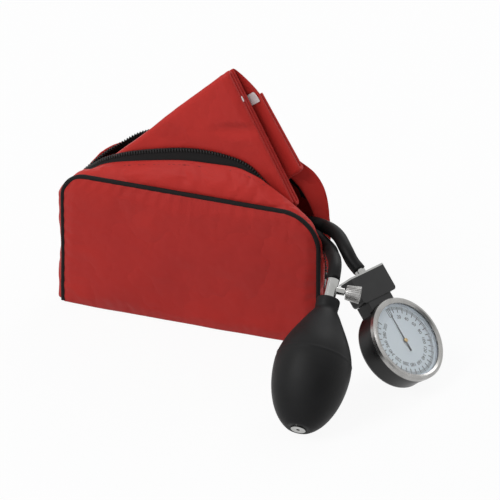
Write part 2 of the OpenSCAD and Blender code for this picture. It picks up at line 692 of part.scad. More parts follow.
module outlet_valve_seat() {
    color("gold") at_bulb() translate([0, 0, bulb_l - spigot_l]) difference() {
        cylinder(r = 3, h = seat_l);
        translate([0, 0, -1]) cylinder(r = 1.2, h = seat_l + 2, $fn = 32);
    }
}

module outlet_valve_disc() {
    color("black") at_bulb() translate([0, 0, bulb_l - spigot_l + seat_l + fit_gap])
        cylinder(r = 2.6, h = disc_t);
}

// Needle along the boss: its cone shuts the cross hole
module release_needle() {
    color("gold") at_bulb() translate([0, 0, valve_s]) rotate([0, 90, 0]) {
        translate([0, 0, port_x - 0.35]) cylinder(r1 = 0.3, r2 = needle_d / 2, h = 1, $fn = 32);
        translate([0, 0, port_x + 0.65]) cylinder(r = needle_d / 2, h = knob_x - 1.6, $fn = 32);
    }
}

module release_seal() {
    color("black") at_bulb() translate([stem_x - 0.8, 0, valve_s]) rotate([0, 90, 0]) difference() {
        cylinder(r = stem_d / 2 + run_gap, h = 0.6, $fn = 48);
        translate([0, 0, -1]) cylinder(r = needle_d / 2 + run_gap, h = 3, $fn = 32);
    }
}

// Knob: threaded stem and ribbed conical head
module release_knob() {
    slope = atan((knob_d2 - knob_d1) / 2 / knob_l);
    color("silver") at_bulb() translate([0, 0, valve_s]) rotate([0, 90, 0]) difference() {
        union() {
            translate([0, 0, stem_x]) cylinder(r = stem_d / 2, h = knob_x - stem_x, $fn = 48);
            translate([0, 0, knob_x]) cylinder(r1 = knob_d1 / 2 - 0.3, r2 = knob_d2 / 2 - 0.3, h = knob_l);
            for (k = [0:knob_ribs - 1]) rotate([0, 0, 360 * k / knob_ribs])
                translate([knob_d1 / 2 - 0.3, 0, knob_x + 0.6]) rotate([0, slope, 0])
                cylinder(r = 0.38, h = knob_l - 1.2, $fn = 16);
        }
        translate([0, 0, stem_x - 1])
            cylinder(r = needle_d / 2 + run_gap, h = knob_x - stem_x + 3.6, $fn = 32);
    }
}

module at_gauge() {
    translate(gauge_at) rotate(gauge_turn) children();
}

module ring(r_out, r_in, z, h) {
    translate([0, 0, z]) difference() {
        cylinder(r = r_out, h = h, $fn = 96);
        translate([0, 0, -1]) cylinder(r = r_in, h = h + 2, $fn = 96);
    }
}

module polar(n, r, start) {
    for (k = [0:n - 1]) rotate([0, 0, start + 360 * k / n]) translate([r, 0, 0]) children();
}

// Housing: cup with a seat for the dial, posts for the movement and a hole for the nipple
module gauge_housing() {
    color("dimgray") at_gauge() difference() {
        union() {
            rotate_extrude($fn = 96) polygon([[0, -gauge_h], [rim_r - 2, -gauge_h],
                [rim_r - 0.6, -gauge_h + 0.6], [rim_r, -gauge_h + 2], [rim_r, -seam_z - 0.4],
                [rim_r - 0.3, -seam_z - 0.2], [rim_r, -seam_z], [rim_r + 0.7, -seam_z + 0.3],
                [rim_r + 0.7, -bezel_depth - fit_gap], [rim_r, -bezel_depth - fit_gap], [rim_r, rim_z], [dial_bore_r, rim_z], [dial_bore_r, dial_z - dial_t],
                [dial_seat_r, dial_z - dial_t], [dial_seat_r, dial_z - dial_t - 1],
                [rim_r - housing_wall, dial_z - dial_t - 2.5], [rim_r - housing_wall, floor_z],
                [0, floor_z]]);
            at_posts() translate([0, 0, floor_z - 0.5])
                cylinder(r = post_r, h = base_plate_z - floor_z + 0.5, $fn = 32);
        }
        translate([0, 20, nipple_z]) rotate([-90, 0, 0]) cylinder(r = 2 + fit_gap, h = 20, $fn = 32);
        at_posts() translate([0, 0, base_plate_z - 2.5]) cylinder(r = 0.5, h = 4, $fn = 24);
    }
}

// Bezel: skirt over the housing's rim and a chamfered lip over the crystal
module gauge_bezel() {
    color("silver") at_gauge() rotate_extrude($fn = 128) polygon([[rim_r + fit_gap, -bezel_depth],
        [bezel_r, -bezel_depth], [bezel_r, -1], [bezel_r - 0.9, 0], [bezel_r - bezel_face * 0.6, 0],
        [bezel_r - bezel_face, -0.9], [bezel_r - bezel_face, -lip_t], [rim_r + fit_gap, -lip_t]]);
}

module gauge_crystal() {
    color("lightcyan") at_gauge() translate([0, 0, -lip_t - crystal_t])
        cylinder(r = crystal_r, h = crystal_t, $fn = 96);
}

module crystal_gasket() {
    color("black") at_gauge() ring(crystal_r, crystal_r - 1.3, rim_z, gasket_t);
}

module dial_ring() {
    color("whitesmoke") at_gauge()
        ring(dial_bore_r - fit_gap, dial_bore_r - 0.9, dial_z, rim_z - dial_z - fit_gap);
}

module gauge_dial() {
    color("aliceblue") at_gauge() ring(dial_bore_r - fit_gap, 1.3, dial_z - dial_t, dial_t);
}

// Pointer: hub with a tapered needle towards the neck and a short tail
module pointer() {
    color("black") at_gauge() {
        translate([0, 0, dial_z + 0.3]) cylinder(r = 1.5, h = 0.9, $fn = 32);
        translate([0, 0, dial_z + 0.5]) linear_extrude(0.25)
            polygon([[-0.7, -pointer_tail], [0.7, -pointer_tail], [0.45, 0], [0.15, pointer_l],
                [-0.15, pointer_l], [-0.45, 0]]);
    }
}

// Arbor of the pointer with its pinion
module pointer_pinion() {
    color("gold") at_gauge() {
        translate([0, 0, base_plate_z + 0.1])
            cylinder(r = arbor_d / 2, h = dial_z + 0.2 - base_plate_z, $fn = 32);
        translate([0, 0, sector_z - 0.4]) rotate([0, 0, sector_mid + 180]) linear_extrude(1.2) union() {
            circle(pinion_r - gear_module * 0.9, $fn = 48);
            for (k = [0:pinion_teeth - 1]) rotate((k + 0.5) * 360 / pinion_teeth) gear_tooth(pinion_r);
        }
    }
}

// Straight-sided tooth of a gear with pitch radius r, on +X
module gear_tooth(r) {
    polygon([[r - gear_module * 1.2, -gear_module * 0.7], [r + gear_module * 0.6, -gear_module * 0.25],
        [r + gear_module * 0.6, gear_module * 0.25], [r - gear_module * 1.2, gear_module * 0.7]]);
}

module plate(z) {
    translate([0, 0, z]) cylinder(r = plate_d / 2, h = plate_t, $fn = 64);
}

// Three posts under the movement, and three pillars between its plates
module at_posts() {
    polar(3, post_at, 270) children();
}

module at_pillars() {
    polar(3, post_at, 90) children();
}

module movement_base_plate() {
    color("gold") at_gauge() difference() {
        plate(base_plate_z);
        translate([0, 0, base_plate_z - 1]) cylinder(r = arbor_d / 2 + run_gap, h = 3, $fn = 32);
        translate([-finger_x - 0.8, -0.6, base_plate_z - 1]) cube([1.2, 1.6, 3]);
        translate([sector_at[0], sector_at[1], base_plate_z - 1])
            cylinder(r = arbor_d / 2 + run_gap, h = 3, $fn = 32);
        at_posts() translate([0, 0, base_plate_z - 1]) cylinder(r = 0.7, h = 3, $fn = 24);
    }
}

module movement_top_plate() {
    color("gold") at_gauge() difference() {
        plate(top_plate_z);
        translate([0, 0, top_plate_z - 1]) cylinder(r = arbor_d / 2 + run_gap, h = 3, $fn = 32);
        translate([sector_at[0], sector_at[1], top_plate_z - 1])
            cylinder(r = arbor_d / 2 + run_gap, h = 3, $fn = 32);
        at_pillars() translate([0, 0, top_plate_z - 1]) cylinder(r = 0.6, h = 3, $fn = 24);
    }
}

module movement_pillars() {
    bottom = base_plate_z + plate_t;
    color("gold") at_gauge() at_pillars() translate([0, 0, bottom]) difference() {
        cylinder(r = 1.2, h = top_plate_z - bottom, $fn = 32);
        translate([0, 0, top_plate_z - bottom - 2]) cylinder(r = 0.5, h = 3, $fn = 24);
    }
}

// Screws: three through the top plate into the pillars, three through the base plate into the posts
module movement_screws() {
    color("silver") at_gauge() {
        at_pillars() screw(top_plate_z + plate_t, 0.45, 1, 2.4);
        at_posts() screw(base_plate_z + plate_t, 0.45, 1.1, 2.6);
    }
}

module screw(z, shank_r, head_r, l) {
    translate([0, 0, z - l]) cylinder(r = shank_r, h = l, $fn = 24);
    translate([0, 0, z]) difference() {
        cylinder(r = head_r, h = 0.4, $fn = 32);
        translate([-2, -0.15, 0.2]) cube([4, 0.3, 1]);
    }
}

// Sector gear on its arbor, with the pin that the rocking shaft pushes
sector_mid = atan2(-sector_at[1], -sector_at[0]);
module sector_gear() {
    start = sector_mid - sector_rest * sector_pitch;
    edge = (sector_half + 0.5) * sector_pitch;
    color("gold") at_gauge() translate([sector_at[0], sector_at[1], 0]) {
        translate([0, 0, base_plate_z + 0.1])
            cylinder(r = arbor_d / 2, h = top_plate_z + plate_t - base_plate_z - 0.2, $fn = 32);
        translate([0, 0, sector_z]) rotate([0, 0, start]) linear_extrude(0.5) union() {
            circle(1.5, $fn = 32);
            polygon(concat([[0, -1.2], [0, 1.2]], [for (k = [8:-1:-8])
                (sector_r - gear_module * 0.9) * [cos(k * edge / 8), sin(k * edge / 8)]]));
            for (k = [-sector_half:sector_half]) rotate(k * sector_pitch) gear_tooth(sector_r);
        }
        translate([0, 0, sector_z - 0.9]) rotate([0, 0, start]) translate([-0.95, 0, 0])
            cylinder(r = 0.25, h = 1.2, $fn = 16);
    }
}

// The finger stands beside the pointer's arbor, over the capsule's stud
finger_r = 0.3;
finger_x = 1.1;

// Rocking shaft with the arm that rests over the capsule's stud and the arm that moves the sector
module rocking_shaft() {
    reach = sector_at[0] - 2.2;
    color("gold") at_gauge() {
        translate([-4, rock_y, rock_z]) rotate([0, 90, 0]) cylinder(r = 0.5, h = reach + 4, $fn = 32);
        translate([-finger_x - finger_r, rock_y, rock_z - 0.4]) cube([2 * finger_r, -rock_y + 0.3, 0.8]);
        translate([-finger_x, 0, stud_z + 0.15])
            cylinder(r = finger_r, h = rock_z - stud_z - 0.05, $fn = 24);
        translate([reach - 0.6, rock_y - 0.3, rock_z]) cube([0.6, 0.6, sector_z - 1.2 - rock_z]);
    }
}

// Flat spiral hairspring that winds out at a steady rate to a stud under the top plate
spring_turns = 4;
spring_steps = 16;
function spiral(r, k) = let (a = 360 * k / spring_steps)
    (r + 1.3 * k / spring_steps) * [cos(a), sin(a)];
module hairspring() {
    n = spring_turns * spring_steps;
    color("gold") at_gauge() {
        translate([0, 0, top_plate_z - 0.8]) linear_extrude(0.5)
            polygon(concat([for (k = [0:n]) spiral(1.4, k)], [for (k = [n:-1:0]) spiral(1.6, k)]));
        translate([1.5 + 1.3 * spring_turns, 0, top_plate_z - 0.8]) cylinder(r = 0.35, h = 0.8, $fn = 24);
    }
}

// Capsule halves: ribbed discs; the lower one stands on a boss over the inlet
module capsule_base() {
    color("gold") at_gauge() {
        rotate_extrude($fn = 96) polygon(capsule_profile(capsule_z, 1));
        translate([0, 0, floor_z]) cylinder(r = 3, h = capsule_z - floor_z + 0.3, $fn = 32);
    }
}

module capsule_top() {
    top = stud_z - 0.9;
    color("gold") at_gauge() {
        rotate_extrude($fn = 96) polygon(capsule_profile(top, -1));
        translate([-finger_x, 0, top - 0.3]) cylinder(r = finger_r, h = 1.2, $fn = 32);
    }
}

// Half of the capsule from its outer face at z: three waves, a flat middle and a flat rim
function wave_z(r) = r < 4 || r > capsule_r - 1.5 ? 0
    : 0.18 * (1 - cos(360 * 3 * (r - 4) / (capsule_r - 5.5)));
capsule_rs = concat([0], [for (k = [0:18]) 4 + (capsule_r - 5.5) * k / 18], [capsule_r]);
function capsule_profile(z, up) = concat(
    [for (r = capsule_rs) [r, z + up * wave_z(r)]],
    [[capsule_r, z + up * capsule_half], [capsule_r - 0.5, z + up * capsule_half]],
    [for (k = [18:-1:0]) let (r = capsule_rs[k + 1]) [min(r, capsule_r - 0.5), z + up * (wave_z(r) + 0.4)]],
    [[0, z + up * 0.4]]);

// Inlet tube from the nipple's shank down behind the plates and in under the capsule
module inlet_tube() {
    drop_y = plate_d / 2 + 1.4;
    low_z = floor_z + 0.8;
    color("gold") at_gauge() {
        translate([0, drop_y, low_z - 0.7]) cylinder(r = 0.8, h = nipple_z - low_z + 1.8, $fn = 24);
        translate([0, 3, low_z]) rotate([-90, 0, 0]) cylinder(r = 0.6, h = drop_y - 3, $fn = 24);
        translate([0, drop_y, nipple_z]) rotate([-90, 0, 0]) cylinder(r = 0.65, h = 4, $fn = 24);
    }
}

// Collar between housing and block, and the block with rounded corners
module rounded_slab(w, y0, y1, z0, t, r) {
    translate([0, 0, z0]) linear_extrude(t) union() {
        translate([-w / 2, y0]) square([w, y1 - y0 - r]);
        translate([r - w / 2, y0]) square([w - 2 * r, y1 - y0]);
        for (s = [-1, 1]) translate([s * (w / 2 - r), y1 - r]) circle(r, $fn = 32);
    }
}

module neck_collar() {
    color("dimgray") at_gauge() difference() {
        translate([-collar_w / 2, 24, collar_front - collar_t])
            cube([collar_w, block_y - 24 - fit_gap, collar_t]);
        translate([0, 0, -gauge_h - 1]) cylinder(r = rim_r, h = gauge_h + 1, $fn = 96);
        translate([0, 0, -seam_z - 0.1]) cylinder(r = bezel_r + fit_gap, h = seam_z + 1, $fn = 96);
        translate([0, 20, nipple_z]) rotate([-90, 0, 0]) cylinder(r = 2 + fit_gap, h = 20, $fn = 32);
    }
}

module neck_block() {
    color("dimgray") at_gauge() difference() {
        mirror([0, 1, 0]) translate([0, -2 * block_y - block_h, 0])
            rounded_slab(block_w, block_y, block_y + block_h, block_front - block_t, block_t, 2.5);
        translate([0, 20, nipple_z]) rotate([-90, 0, 0]) cylinder(r = 2 + fit_gap, h = 60, $fn = 32);
        for (s = [-1, 1]) translate([s * block_w * 0.33, block_y + block_h - 6, nipple_z])
            rotate([-90, 0, 0]) cylinder(r = 0.8, h = 10, $fn = 24);
    }
}

// Chrome plate over the block's end that turns down its back as a belt clip
module belt_clip() {
    top_y = block_y + block_h;
    back_z = block_front - block_t;
    color("silver") at_gauge() difference() {
        union() {
            translate([-block_w / 2, top_y, back_z - clip_t]) cube([block_w, clip_t, block_t + clip_t]);
            translate([-block_w * 0.3, top_y - block_h + 1, back_z - clip_t])
                cube([block_w * 0.6, block_h, clip_t - fit_gap]);
        }
        translate([0, top_y - 1, nipple_z]) rotate([-90, 0, 0]) cylinder(r = 2 + fit_gap, h = 8, $fn = 32);
        for (s = [-1, 1]) translate([s * block_w * 0.33, top_y - 1, nipple_z])
            rotate([-90, 0, 0]) cylinder(r = 0.8, h = 10, $fn = 24);
    }
}

module clip_screws() {
    color("silver") at_gauge() for (s = [-1, 1])
        translate([s * block_w * 0.33, block_y + block_h + clip_t, nipple_z])
        rotate([-90, 0, 0]) screw(0, 0.75, 1.6, 6);
}

// Nipple: shank through block, collar and housing, flange outside the clip, barb in the hose
module hose_nipple() {
    outer = block_y + block_h + clip_t;
    inner = plate_d / 2 + 3;
    color("silver") at_gauge() translate([0, 0, nipple_z]) rotate([-90, 0, 0]) difference() {
        union() {
            translate([0, 0, inner]) cylinder(r = 2, h = outer - inner, $fn = 32);
            translate([0, 0, outer]) cylinder(r = 3.8, h = nipple_flange, $fn = 48);
            translate([0, 0, outer + nipple_flange]) cylinder(r = hose_bore / 2, h = barb_l, $fn = 32);
        }
        translate([0, 0, inner - 1]) cylinder(r = 0.65 + fit_gap, h = 60, $fn = 24);
    }
}

case_front_panel();
case_rear_panel();
case_base_panel();
case_left_gusset();
case_right_gusset();
case_front_flap();
case_rear_flap();
case_front_piping();
case_rear_piping();
zip_front_tape();
zip_rear_tape();
zip_front_teeth();
zip_rear_teeth();
zip_stops();
zip_slider();
zip_pull();
cuff_outer_cloth();
cuff_inner_cloth();
cuff_hem_binding();
cuff_bladder();
cuff_hook_patch();
cuff_loop_patch();
cuff_care_tag();
cuff_size_patch();
bladder_ports();
bulb_hose();
gauge_hose();
bulb();
end_valve_body();
end_valve_disc();
end_valve_retainer();
release_valve_body();
outlet_valve_seat();
outlet_valve_disc();
release_needle();
release_seal();
release_knob();
gauge_housing();
gauge_bezel();
gauge_crystal();
crystal_gasket();
dial_ring();
gauge_dial();
pointer();
pointer_pinion();
movement_top_plate();
movement_base_plate();
movement_pillars();
movement_screws();
sector_gear();
rocking_shaft();
hairspring();
capsule_base();
capsule_top();
inlet_tube();
neck_collar();
neck_block();
hose_nipple();
belt_clip();
clip_screws();
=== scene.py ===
"""Dresses a pocket blood-pressure gauge: red zip case, folded cuff, hoses, rubber bulb and dial."""

import json
import logging
import math
from dataclasses import dataclass
from enum import Enum
from functools import cache
from typing import Callable, Sequence

import bpy
import numpy as np
from mathutils import Euler, Matrix, Vector, noise

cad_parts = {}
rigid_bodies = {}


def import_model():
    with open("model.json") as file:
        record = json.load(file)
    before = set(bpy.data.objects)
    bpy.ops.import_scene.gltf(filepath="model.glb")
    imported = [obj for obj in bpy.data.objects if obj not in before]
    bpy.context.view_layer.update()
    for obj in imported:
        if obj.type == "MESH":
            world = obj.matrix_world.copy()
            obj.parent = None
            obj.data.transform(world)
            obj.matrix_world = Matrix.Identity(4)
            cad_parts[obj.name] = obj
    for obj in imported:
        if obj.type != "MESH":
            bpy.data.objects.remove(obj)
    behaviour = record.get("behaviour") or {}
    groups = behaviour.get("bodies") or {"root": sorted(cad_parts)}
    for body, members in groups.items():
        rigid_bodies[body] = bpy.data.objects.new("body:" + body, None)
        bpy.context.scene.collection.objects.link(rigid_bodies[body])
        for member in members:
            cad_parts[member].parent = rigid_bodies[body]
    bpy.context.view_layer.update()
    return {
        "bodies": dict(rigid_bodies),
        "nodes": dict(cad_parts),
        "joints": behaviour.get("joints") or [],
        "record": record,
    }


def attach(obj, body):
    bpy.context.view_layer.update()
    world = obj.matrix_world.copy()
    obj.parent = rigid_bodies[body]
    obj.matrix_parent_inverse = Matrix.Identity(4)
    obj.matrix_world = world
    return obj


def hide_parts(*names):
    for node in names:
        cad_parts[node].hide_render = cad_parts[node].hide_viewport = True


log = logging.getLogger("scene")
MM = 0.001
CLOTH_SCALE = 10.0  # cloth settles better when it is not tiny
CLOTH_FRAMES = 20
Point = Sequence[float]
Piece = bpy.types.Object
Socket = bpy.types.NodeSocket

FRONT_EDGE = [(-84.5, -1.5, 91.5), (-76, -8, 98), (-64, -10, 105.5), (-43.5, -11, 111.5),
              (-11, -11, 118), (10.5, -11, 119.5), (28.5, -11, 120), (38.5, -12, 118.5),
              (48.5, -12.5, 115), (63.5, -12.5, 106), (75, -13.5, 98.5), (85, -16, 91.5),
              (91, -18.5, 81), (94.5, -19, 70), (95.2, -18, 61), (92.5, -13, 44.5), (90, -9, 34)]
FRONT_TEETH = [(-84, 1, 92), (-76, -3.5, 99.5), (-64.5, -6, 108), (-44, -8, 117), (-12, -8, 125),
               (9.5, -8, 127), (27.5, -8, 125), (38, -8, 121), (47, -8, 113), (60.5, -7.5, 98.5),
               (71.5, -7.5, 91), (79, -8.5, 85), (85.5, -12, 74.5), (89, -12, 64.5),
               (90, -9, 55.5), (89, -6.5, 47), (89, -5.6, 42)]
REAR_EDGE = [(-84, 4, 91.5), (-77.5, 15, 99.5), (-66, 18.5, 107), (-46, 20, 113), (-14, 20, 119),
             (12, 20, 121), (34, 20, 121.5), (48, 20.5, 121), (58, 20.5, 118.5), (66, 20.5, 114.5),
             (74, 20.5, 109), (80, 20.5, 100.5), (83.5, 20.2, 89.5), (85.5, 18.5, 76),
             (87, 16, 62), (88, 12, 46), (87.5, 8, 34)]
REAR_TEETH = [(-83.5, 2.8, 92.4), (-76, 9, 99.5), (-63.5, 14, 109), (-45, 18, 120),
              (-14, 18.5, 126.5), (12, 18.5, 128.5), (34, 18.5, 128), (47, 18, 123),
              (53.5, 17.6, 114), (59, 17.4, 106.5), (65.5, 17.4, 100), (71, 17.2, 92),
              (76, 17, 82), (79.5, 15.8, 70), (83, 11.5, 58), (86.5, 7, 47), (87.5, 5.6, 42)]
BULB_ROUTE = [(-68.5, -0.6, 74), (-70.5, -0.8, 65), (-71, -1.5, 54), (-69.5, -3.5, 43),
              (-64.5, -6, 31.5), (-57.5, -8.5, 21.5), (-47.5, -10.5, 14), (-36, -12, 10),
              (-24, -13, 8), (-12, -13.5, 8), (0, -13, 8.5), (11, -12.5, 10.5), (21, -11.5, 14.5),
              (30.5, -10, 21), (37, -7.5, 30), (41.5, -4.5, 41), (46.5, 0.5, 51), (54, 3.5, 60),
              (63, 4, 67), (73, 2, 71.5), (82, -1.5, 73.5), (90.5, -8, 73), (98.5, -16.5, 73.5),
              (104, -27.5, 76), (108.5, -36.5, 78), (112, -46, 77.5), (114, -55, 73.5)]
GAUGE_ROUTE = [(-60.5, -0.6, 65), (-61.5, -1.5, 55), (-60, -3, 46), (-56, -5.5, 36),
               (-49, -8.5, 27.5), (-39, -11, 21.5), (-28, -13, 18.5), (-17, -13.5, 18),
               (-6, -13.5, 18.5), (4.5, -12, 19.5), (14.5, -9.5, 22), (23.5, -5, 26),
               (31.5, 0, 32), (38.5, 4.5, 40.5), (43.5, 9.5, 50), (50, 12.5, 60), (58.5, 13.5, 68),
               (68, 12, 73.5), (78.5, 9.5, 76.5), (87.5, 5.5, 77.5), (95, -2, 80),
               (103, -10.5, 80.5), (111, -20, 77.5), (117, -25, 72.5), (123, -28, 68.5)]


class Body(Enum):
    """CAD bodies that new pieces ride on."""

    CASE = "case"
    CUFF = "instrument"
    POINTER = "pointer"
    KNOB = "knob"


class Coords(Enum):
    """What a finish takes its pattern's place from."""

    OBJECT = "Object"
    UV = "UV"


def unit(v: np.ndarray) -> np.ndarray:
    """Returns v, or each row of v, at length 1."""
    return v / np.maximum(np.linalg.norm(v, axis=-1, keepdims=True), 1e-12)


def clamp(x: float) -> float:
    """Returns x kept between 0 and 1."""
    return min(1.0, max(0.0, x))


def bell(x: float) -> float:
    """Returns the height of a bell curve at x: 1 at 0, and less on both sides."""
    return math.exp(-x * x)


def ripple(x: float, y: float, z: float, size: float) -> float:
    """Returns smooth noise of about -1 to 1 whose lumps are size millimetres wide."""
    return noise.noise(Vector((x / size, y / size, z / size)))


def distances(line: np.ndarray) -> np.ndarray:
    """Returns how far along a line each of its points lies."""
    return np.concatenate([[0], np.cumsum(np.linalg.norm(np.diff(line, axis=0), axis=1))])


def directions(line: np.ndarray) -> np.ndarray:
    """Returns which way a line runs at each of its points."""
    return unit(np.gradient(line, axis=0))


def smooth_line(points: Sequence[Point], steps: int = 6) -> np.ndarray:
    """Passes a smooth curve through points.

    Args:
        points: the points, in millimetres.
        steps: stretches between two of them.

    Returns:
        The curve's points, in millimetres.
    """
    p = np.asarray(points, float)
    p = np.vstack([2 * p[0] - p[1], p, 2 * p[-1] - p[-2]])
    out = []
    for i in range(1, len(p) - 2):
        a, b, c, d = p[i - 1 : i + 3]
        for t in np.arange(steps) / steps:
            out.append(0.5 * (2 * b + (c - a) * t + (2 * a - 5 * b + 4 * c - d) * t * t
                              + (3 * b - a - 3 * c + d) * t ** 3))
    out.append(p[-2])
    return np.array(out)


def even_line(line: np.ndarray, count: int) -> np.ndarray:
    """Spreads points evenly along a line.

    Args:
        line: the line's points.
        count: how many points to give.

    Returns:
        The evenly spread points.
    """
    along = distances(line)
    at = np.linspace(0, along[-1], count)
    return np.stack([np.interp(at, along, line[:, k]) for k in range(3)], axis=1)


def between(first: np.ndarray, second: np.ndarray, columns: int) -> np.ndarray:
    """Returns a flat grid of points from one line to another."""
    return np.stack([first + (second - first) * t for t in np.linspace(0, 1, columns)], axis=1)


def pose(place: Point, turn: Point) -> Matrix:
    """Returns the matrix of a place in millimetres and a turn in degrees."""
    turned = Euler([math.radians(a) for a in turn], "XYZ").to_matrix().to_4x4()
    return Matrix.Translation(Vector(place) * MM) @ turned


def link(name: str, data: bpy.types.ID) -> Piece:
    """Adds an object to the scene.

    Args:
        name: its name.
        data: its mesh, curve, lamp or camera.

    Returns:
        The new object.
    """
    obj = bpy.data.objects.new(name, data)
    bpy.context.scene.collection.objects.link(obj)
    return obj


def pick(obj: Piece) -> None:
    """Selects one object alone and makes it active.

    Args:
        obj: the object to work on.
    """
    for other in bpy.context.selected_objects:
        other.select_set(False)
    obj.select_set(True)
    bpy.context.view_layer.objects.active = obj


def shade(obj: Piece, smooth: bool = True) -> None:
    """Shades all faces of a mesh smooth or flat."""
    for polygon in obj.data.polygons:
        polygon.use_smooth = smooth


def quads(rows: int, cols: int, closed: bool = False, flip: bool = False) -> list[tuple]:
    """Returns the faces of a grid of points.

    Args:
        rows: how many rows it has.
        cols: how many points a row has.
        closed: whether the last column meets the first.
        flip: whether the faces turn the other way.

    Returns:
        The faces, as tuples of point numbers.
    """
    faces = []
    for i in range(rows - 1):
        for j in range(cols if closed else cols - 1):
            k = (j + 1) % cols
            quad = (i * cols + j, i * cols + k, (i + 1) * cols + k, (i + 1) * cols + j)
            faces.append(quad[::-1] if flip else quad)
    return faces


def tube_faces(rows: int, sides: int, start: int = 0) -> list[tuple]:
    """Returns the faces of a tube with closed ends, whose first point has the number start."""
    ends = [tuple(range(sides))[::-1], tuple(range((rows - 1) * sides, rows * sides))]
    return [tuple(start + k for k in face) for face in quads(rows, sides, closed=True) + ends]


def from_points(name: str, points: np.ndarray, faces: list, uv: np.ndarray | None = None) -> Piece:
    """Makes a mesh object.

    Args:
        name: the piece's name.
        points: its points, in millimetres.
        faces: its faces, as tuples of point numbers.
        uv: a place on the cloth for each point, in millimetres.

    Returns:
        The new object.
    """
    mesh = bpy.data.meshes.new(name)
    mesh.from_pydata((np.asarray(points) * MM).tolist(), [], faces)
    mesh.update()
    if uv is not None:
        layer = mesh.uv_layers.new(name="cloth")
        for loop in mesh.loops:
            layer.data[loop.index].uv = uv[loop.vertex_index] * MM
    obj = link(name, mesh)
    shade(obj)
    return obj


def grid(name: str, points: np.ndarray, closed: bool = False, flip: bool = False,
         ends: Sequence[tuple] = ()) -> Piece:
    """Makes a sheet from rows of points, with a UV map in millimetres along both ways.

    Args:
        name: the piece's name.
        points: rows, columns, xyz, in millimetres.
        closed: whether the last column meets the first.
        flip: whether the faces turn the other way.
        ends: more faces.

    Returns:
        The new object.
    """
    rows, cols = points.shape[:2]
    u, v = np.zeros((rows, cols)), np.zeros((rows, cols))
    v[1:] = np.cumsum(np.linalg.norm(np.diff(points, axis=0), axis=2).mean(1))[:, None]
    u[:, 1:] = np.cumsum(np.linalg.norm(np.diff(points, axis=1), axis=2), axis=1)
    uv = np.stack([u, v], axis=2).reshape(-1, 2)
    return from_points(name, points.reshape(-1, 3), quads(rows, cols, closed, flip) + list(ends), uv)


def tube(name: str, line: np.ndarray, radius: float, sides: int) -> Piece:
    """Sweeps a round tube with closed ends along a line.

    Args:
        name: the piece's name.
        line: the centre line, in millimetres.
        radius: in millimetres.
        sides: how many sides it has.

    Returns:
        The new object.
    """
    turns = 2 * math.pi * np.arange(sides) / sides
    ahead = directions(line)
    side = np.cross(ahead[0], (0, 1, 0) if abs(ahead[0][1]) < 0.9 else (1, 0, 0))
    points = []
    for p, d in zip(line, ahead):
        side = unit(side - d * np.dot(side, d))
        up = np.cross(d, side)
        points += [p + radius * (math.cos(a) * side + math.sin(a) * up) for a in turns]
    uv = np.stack([np.tile(turns * radius, len(line)), np.repeat(distances(line), sides)], axis=1)
    return from_points(name, np.array(points), tube_faces(len(line), sides), uv)


def threads(name: str, lines: list[np.ndarray], radius: float, sides: int) -> Piece:
    """Makes many short threads as one mesh.

    Args:
        name: the piece's name.
        lines: a centre line for each thread.
        radius: in millimetres.
        sides: how many sides a thread has.

    Returns:
        The threads as one object.
    """
    points, faces = [], []
    for line in lines:
        faces += tube_faces(len(line), sides, len(points))
        for p, d in zip(line, directions(line)):
            s = unit(np.cross(d, (0.31, 0.87, 0.38)))
            u = np.cross(d, s)
            points += [p + radius * (math.cos(a) * s + math.sin(a) * u)
                       for a in np.arange(sides) * 2 * math.pi / sides]
    return from_points(name, np.array(points), faces)


def modify(obj: Piece, kind: str, **settings: object) -> None:
    """Adds a modifier and applies it.

    Args:
        obj: the object.
        kind: the modifier's type.
        settings: its settings.
    """
    pick(obj)
    modifier = obj.modifiers.new(kind.lower(), kind)
    for key, value in settings.items():
        setattr(modifier, key, value)
    bpy.ops.object.modifier_apply(modifier=modifier.name)


def thicken(obj: Piece, thickness: float) -> None:
    """Gives a sheet its thickness and rounds it.

    Args:
        obj: the sheet.
        thickness: in millimetres, towards the back of its faces.
    """
    modify(obj, "SOLIDIFY", thickness=thickness * MM, offset=-1.0, use_even_offset=False)
    modify(obj, "SUBSURF", levels=1, render_levels=1)
    shade(obj)


def select_all() -> None:
    """Selects all of the mesh in edit mode."""
    bpy.ops.mesh.select_all(action="SELECT")


def turn_outward() -> None:
    """Turns the selected faces in edit mode outward."""
    bpy.ops.mesh.normals_make_consistent(inside=False)


def edit(obj: Piece, *steps: Callable) -> None:
    """Runs steps on one mesh in edit mode.

    Args:
        obj: the mesh object.
        steps: what to run.
    """
    pick(obj)
    bpy.ops.object.mode_set(mode="EDIT")
    for step in steps:
        step()
    bpy.ops.object.mode_set(mode="OBJECT")


def choose(obj: Piece, wanted: Callable) -> None:
    """Selects some faces of a mesh, and no others.

    Args:
        obj: the mesh object.
        wanted: says whether a face is one of them.
    """
    edit(obj, lambda: bpy.ops.mesh.select_mode(type="FACE"),
         lambda: bpy.ops.mesh.select_all(action="DESELECT"))
    for polygon in obj.data.polygons:
        polygon.select = bool(wanted(polygon))


def lathe(name: str, profile: Sequence[tuple[float, float]], steps: int) -> Piece:
    """Spins a profile once around Z.

    Args:
        name: the piece's name.
        profile: its points as radius and height, in millimetres.
        steps: how many steps a turn has.

    Returns:
        The turned piece, in its own millimetres.
    """
    mesh = bpy.data.meshes.new(name)
    mesh.from_pydata([(r, 0.0, z) for r, z in profile], [(k, k + 1) for k in range(len(profile) - 1)], [])
    obj = link(name, mesh)
    edit(obj, select_all,
         lambda: bpy.ops.mesh.spin(steps=steps, angle=2 * math.pi, center=(0, 0, 0), axis=(0, 0, 1)),
         select_all, lambda: bpy.ops.mesh.remove_doubles(threshold=0.002), turn_outward)
    shade(obj)
    return obj


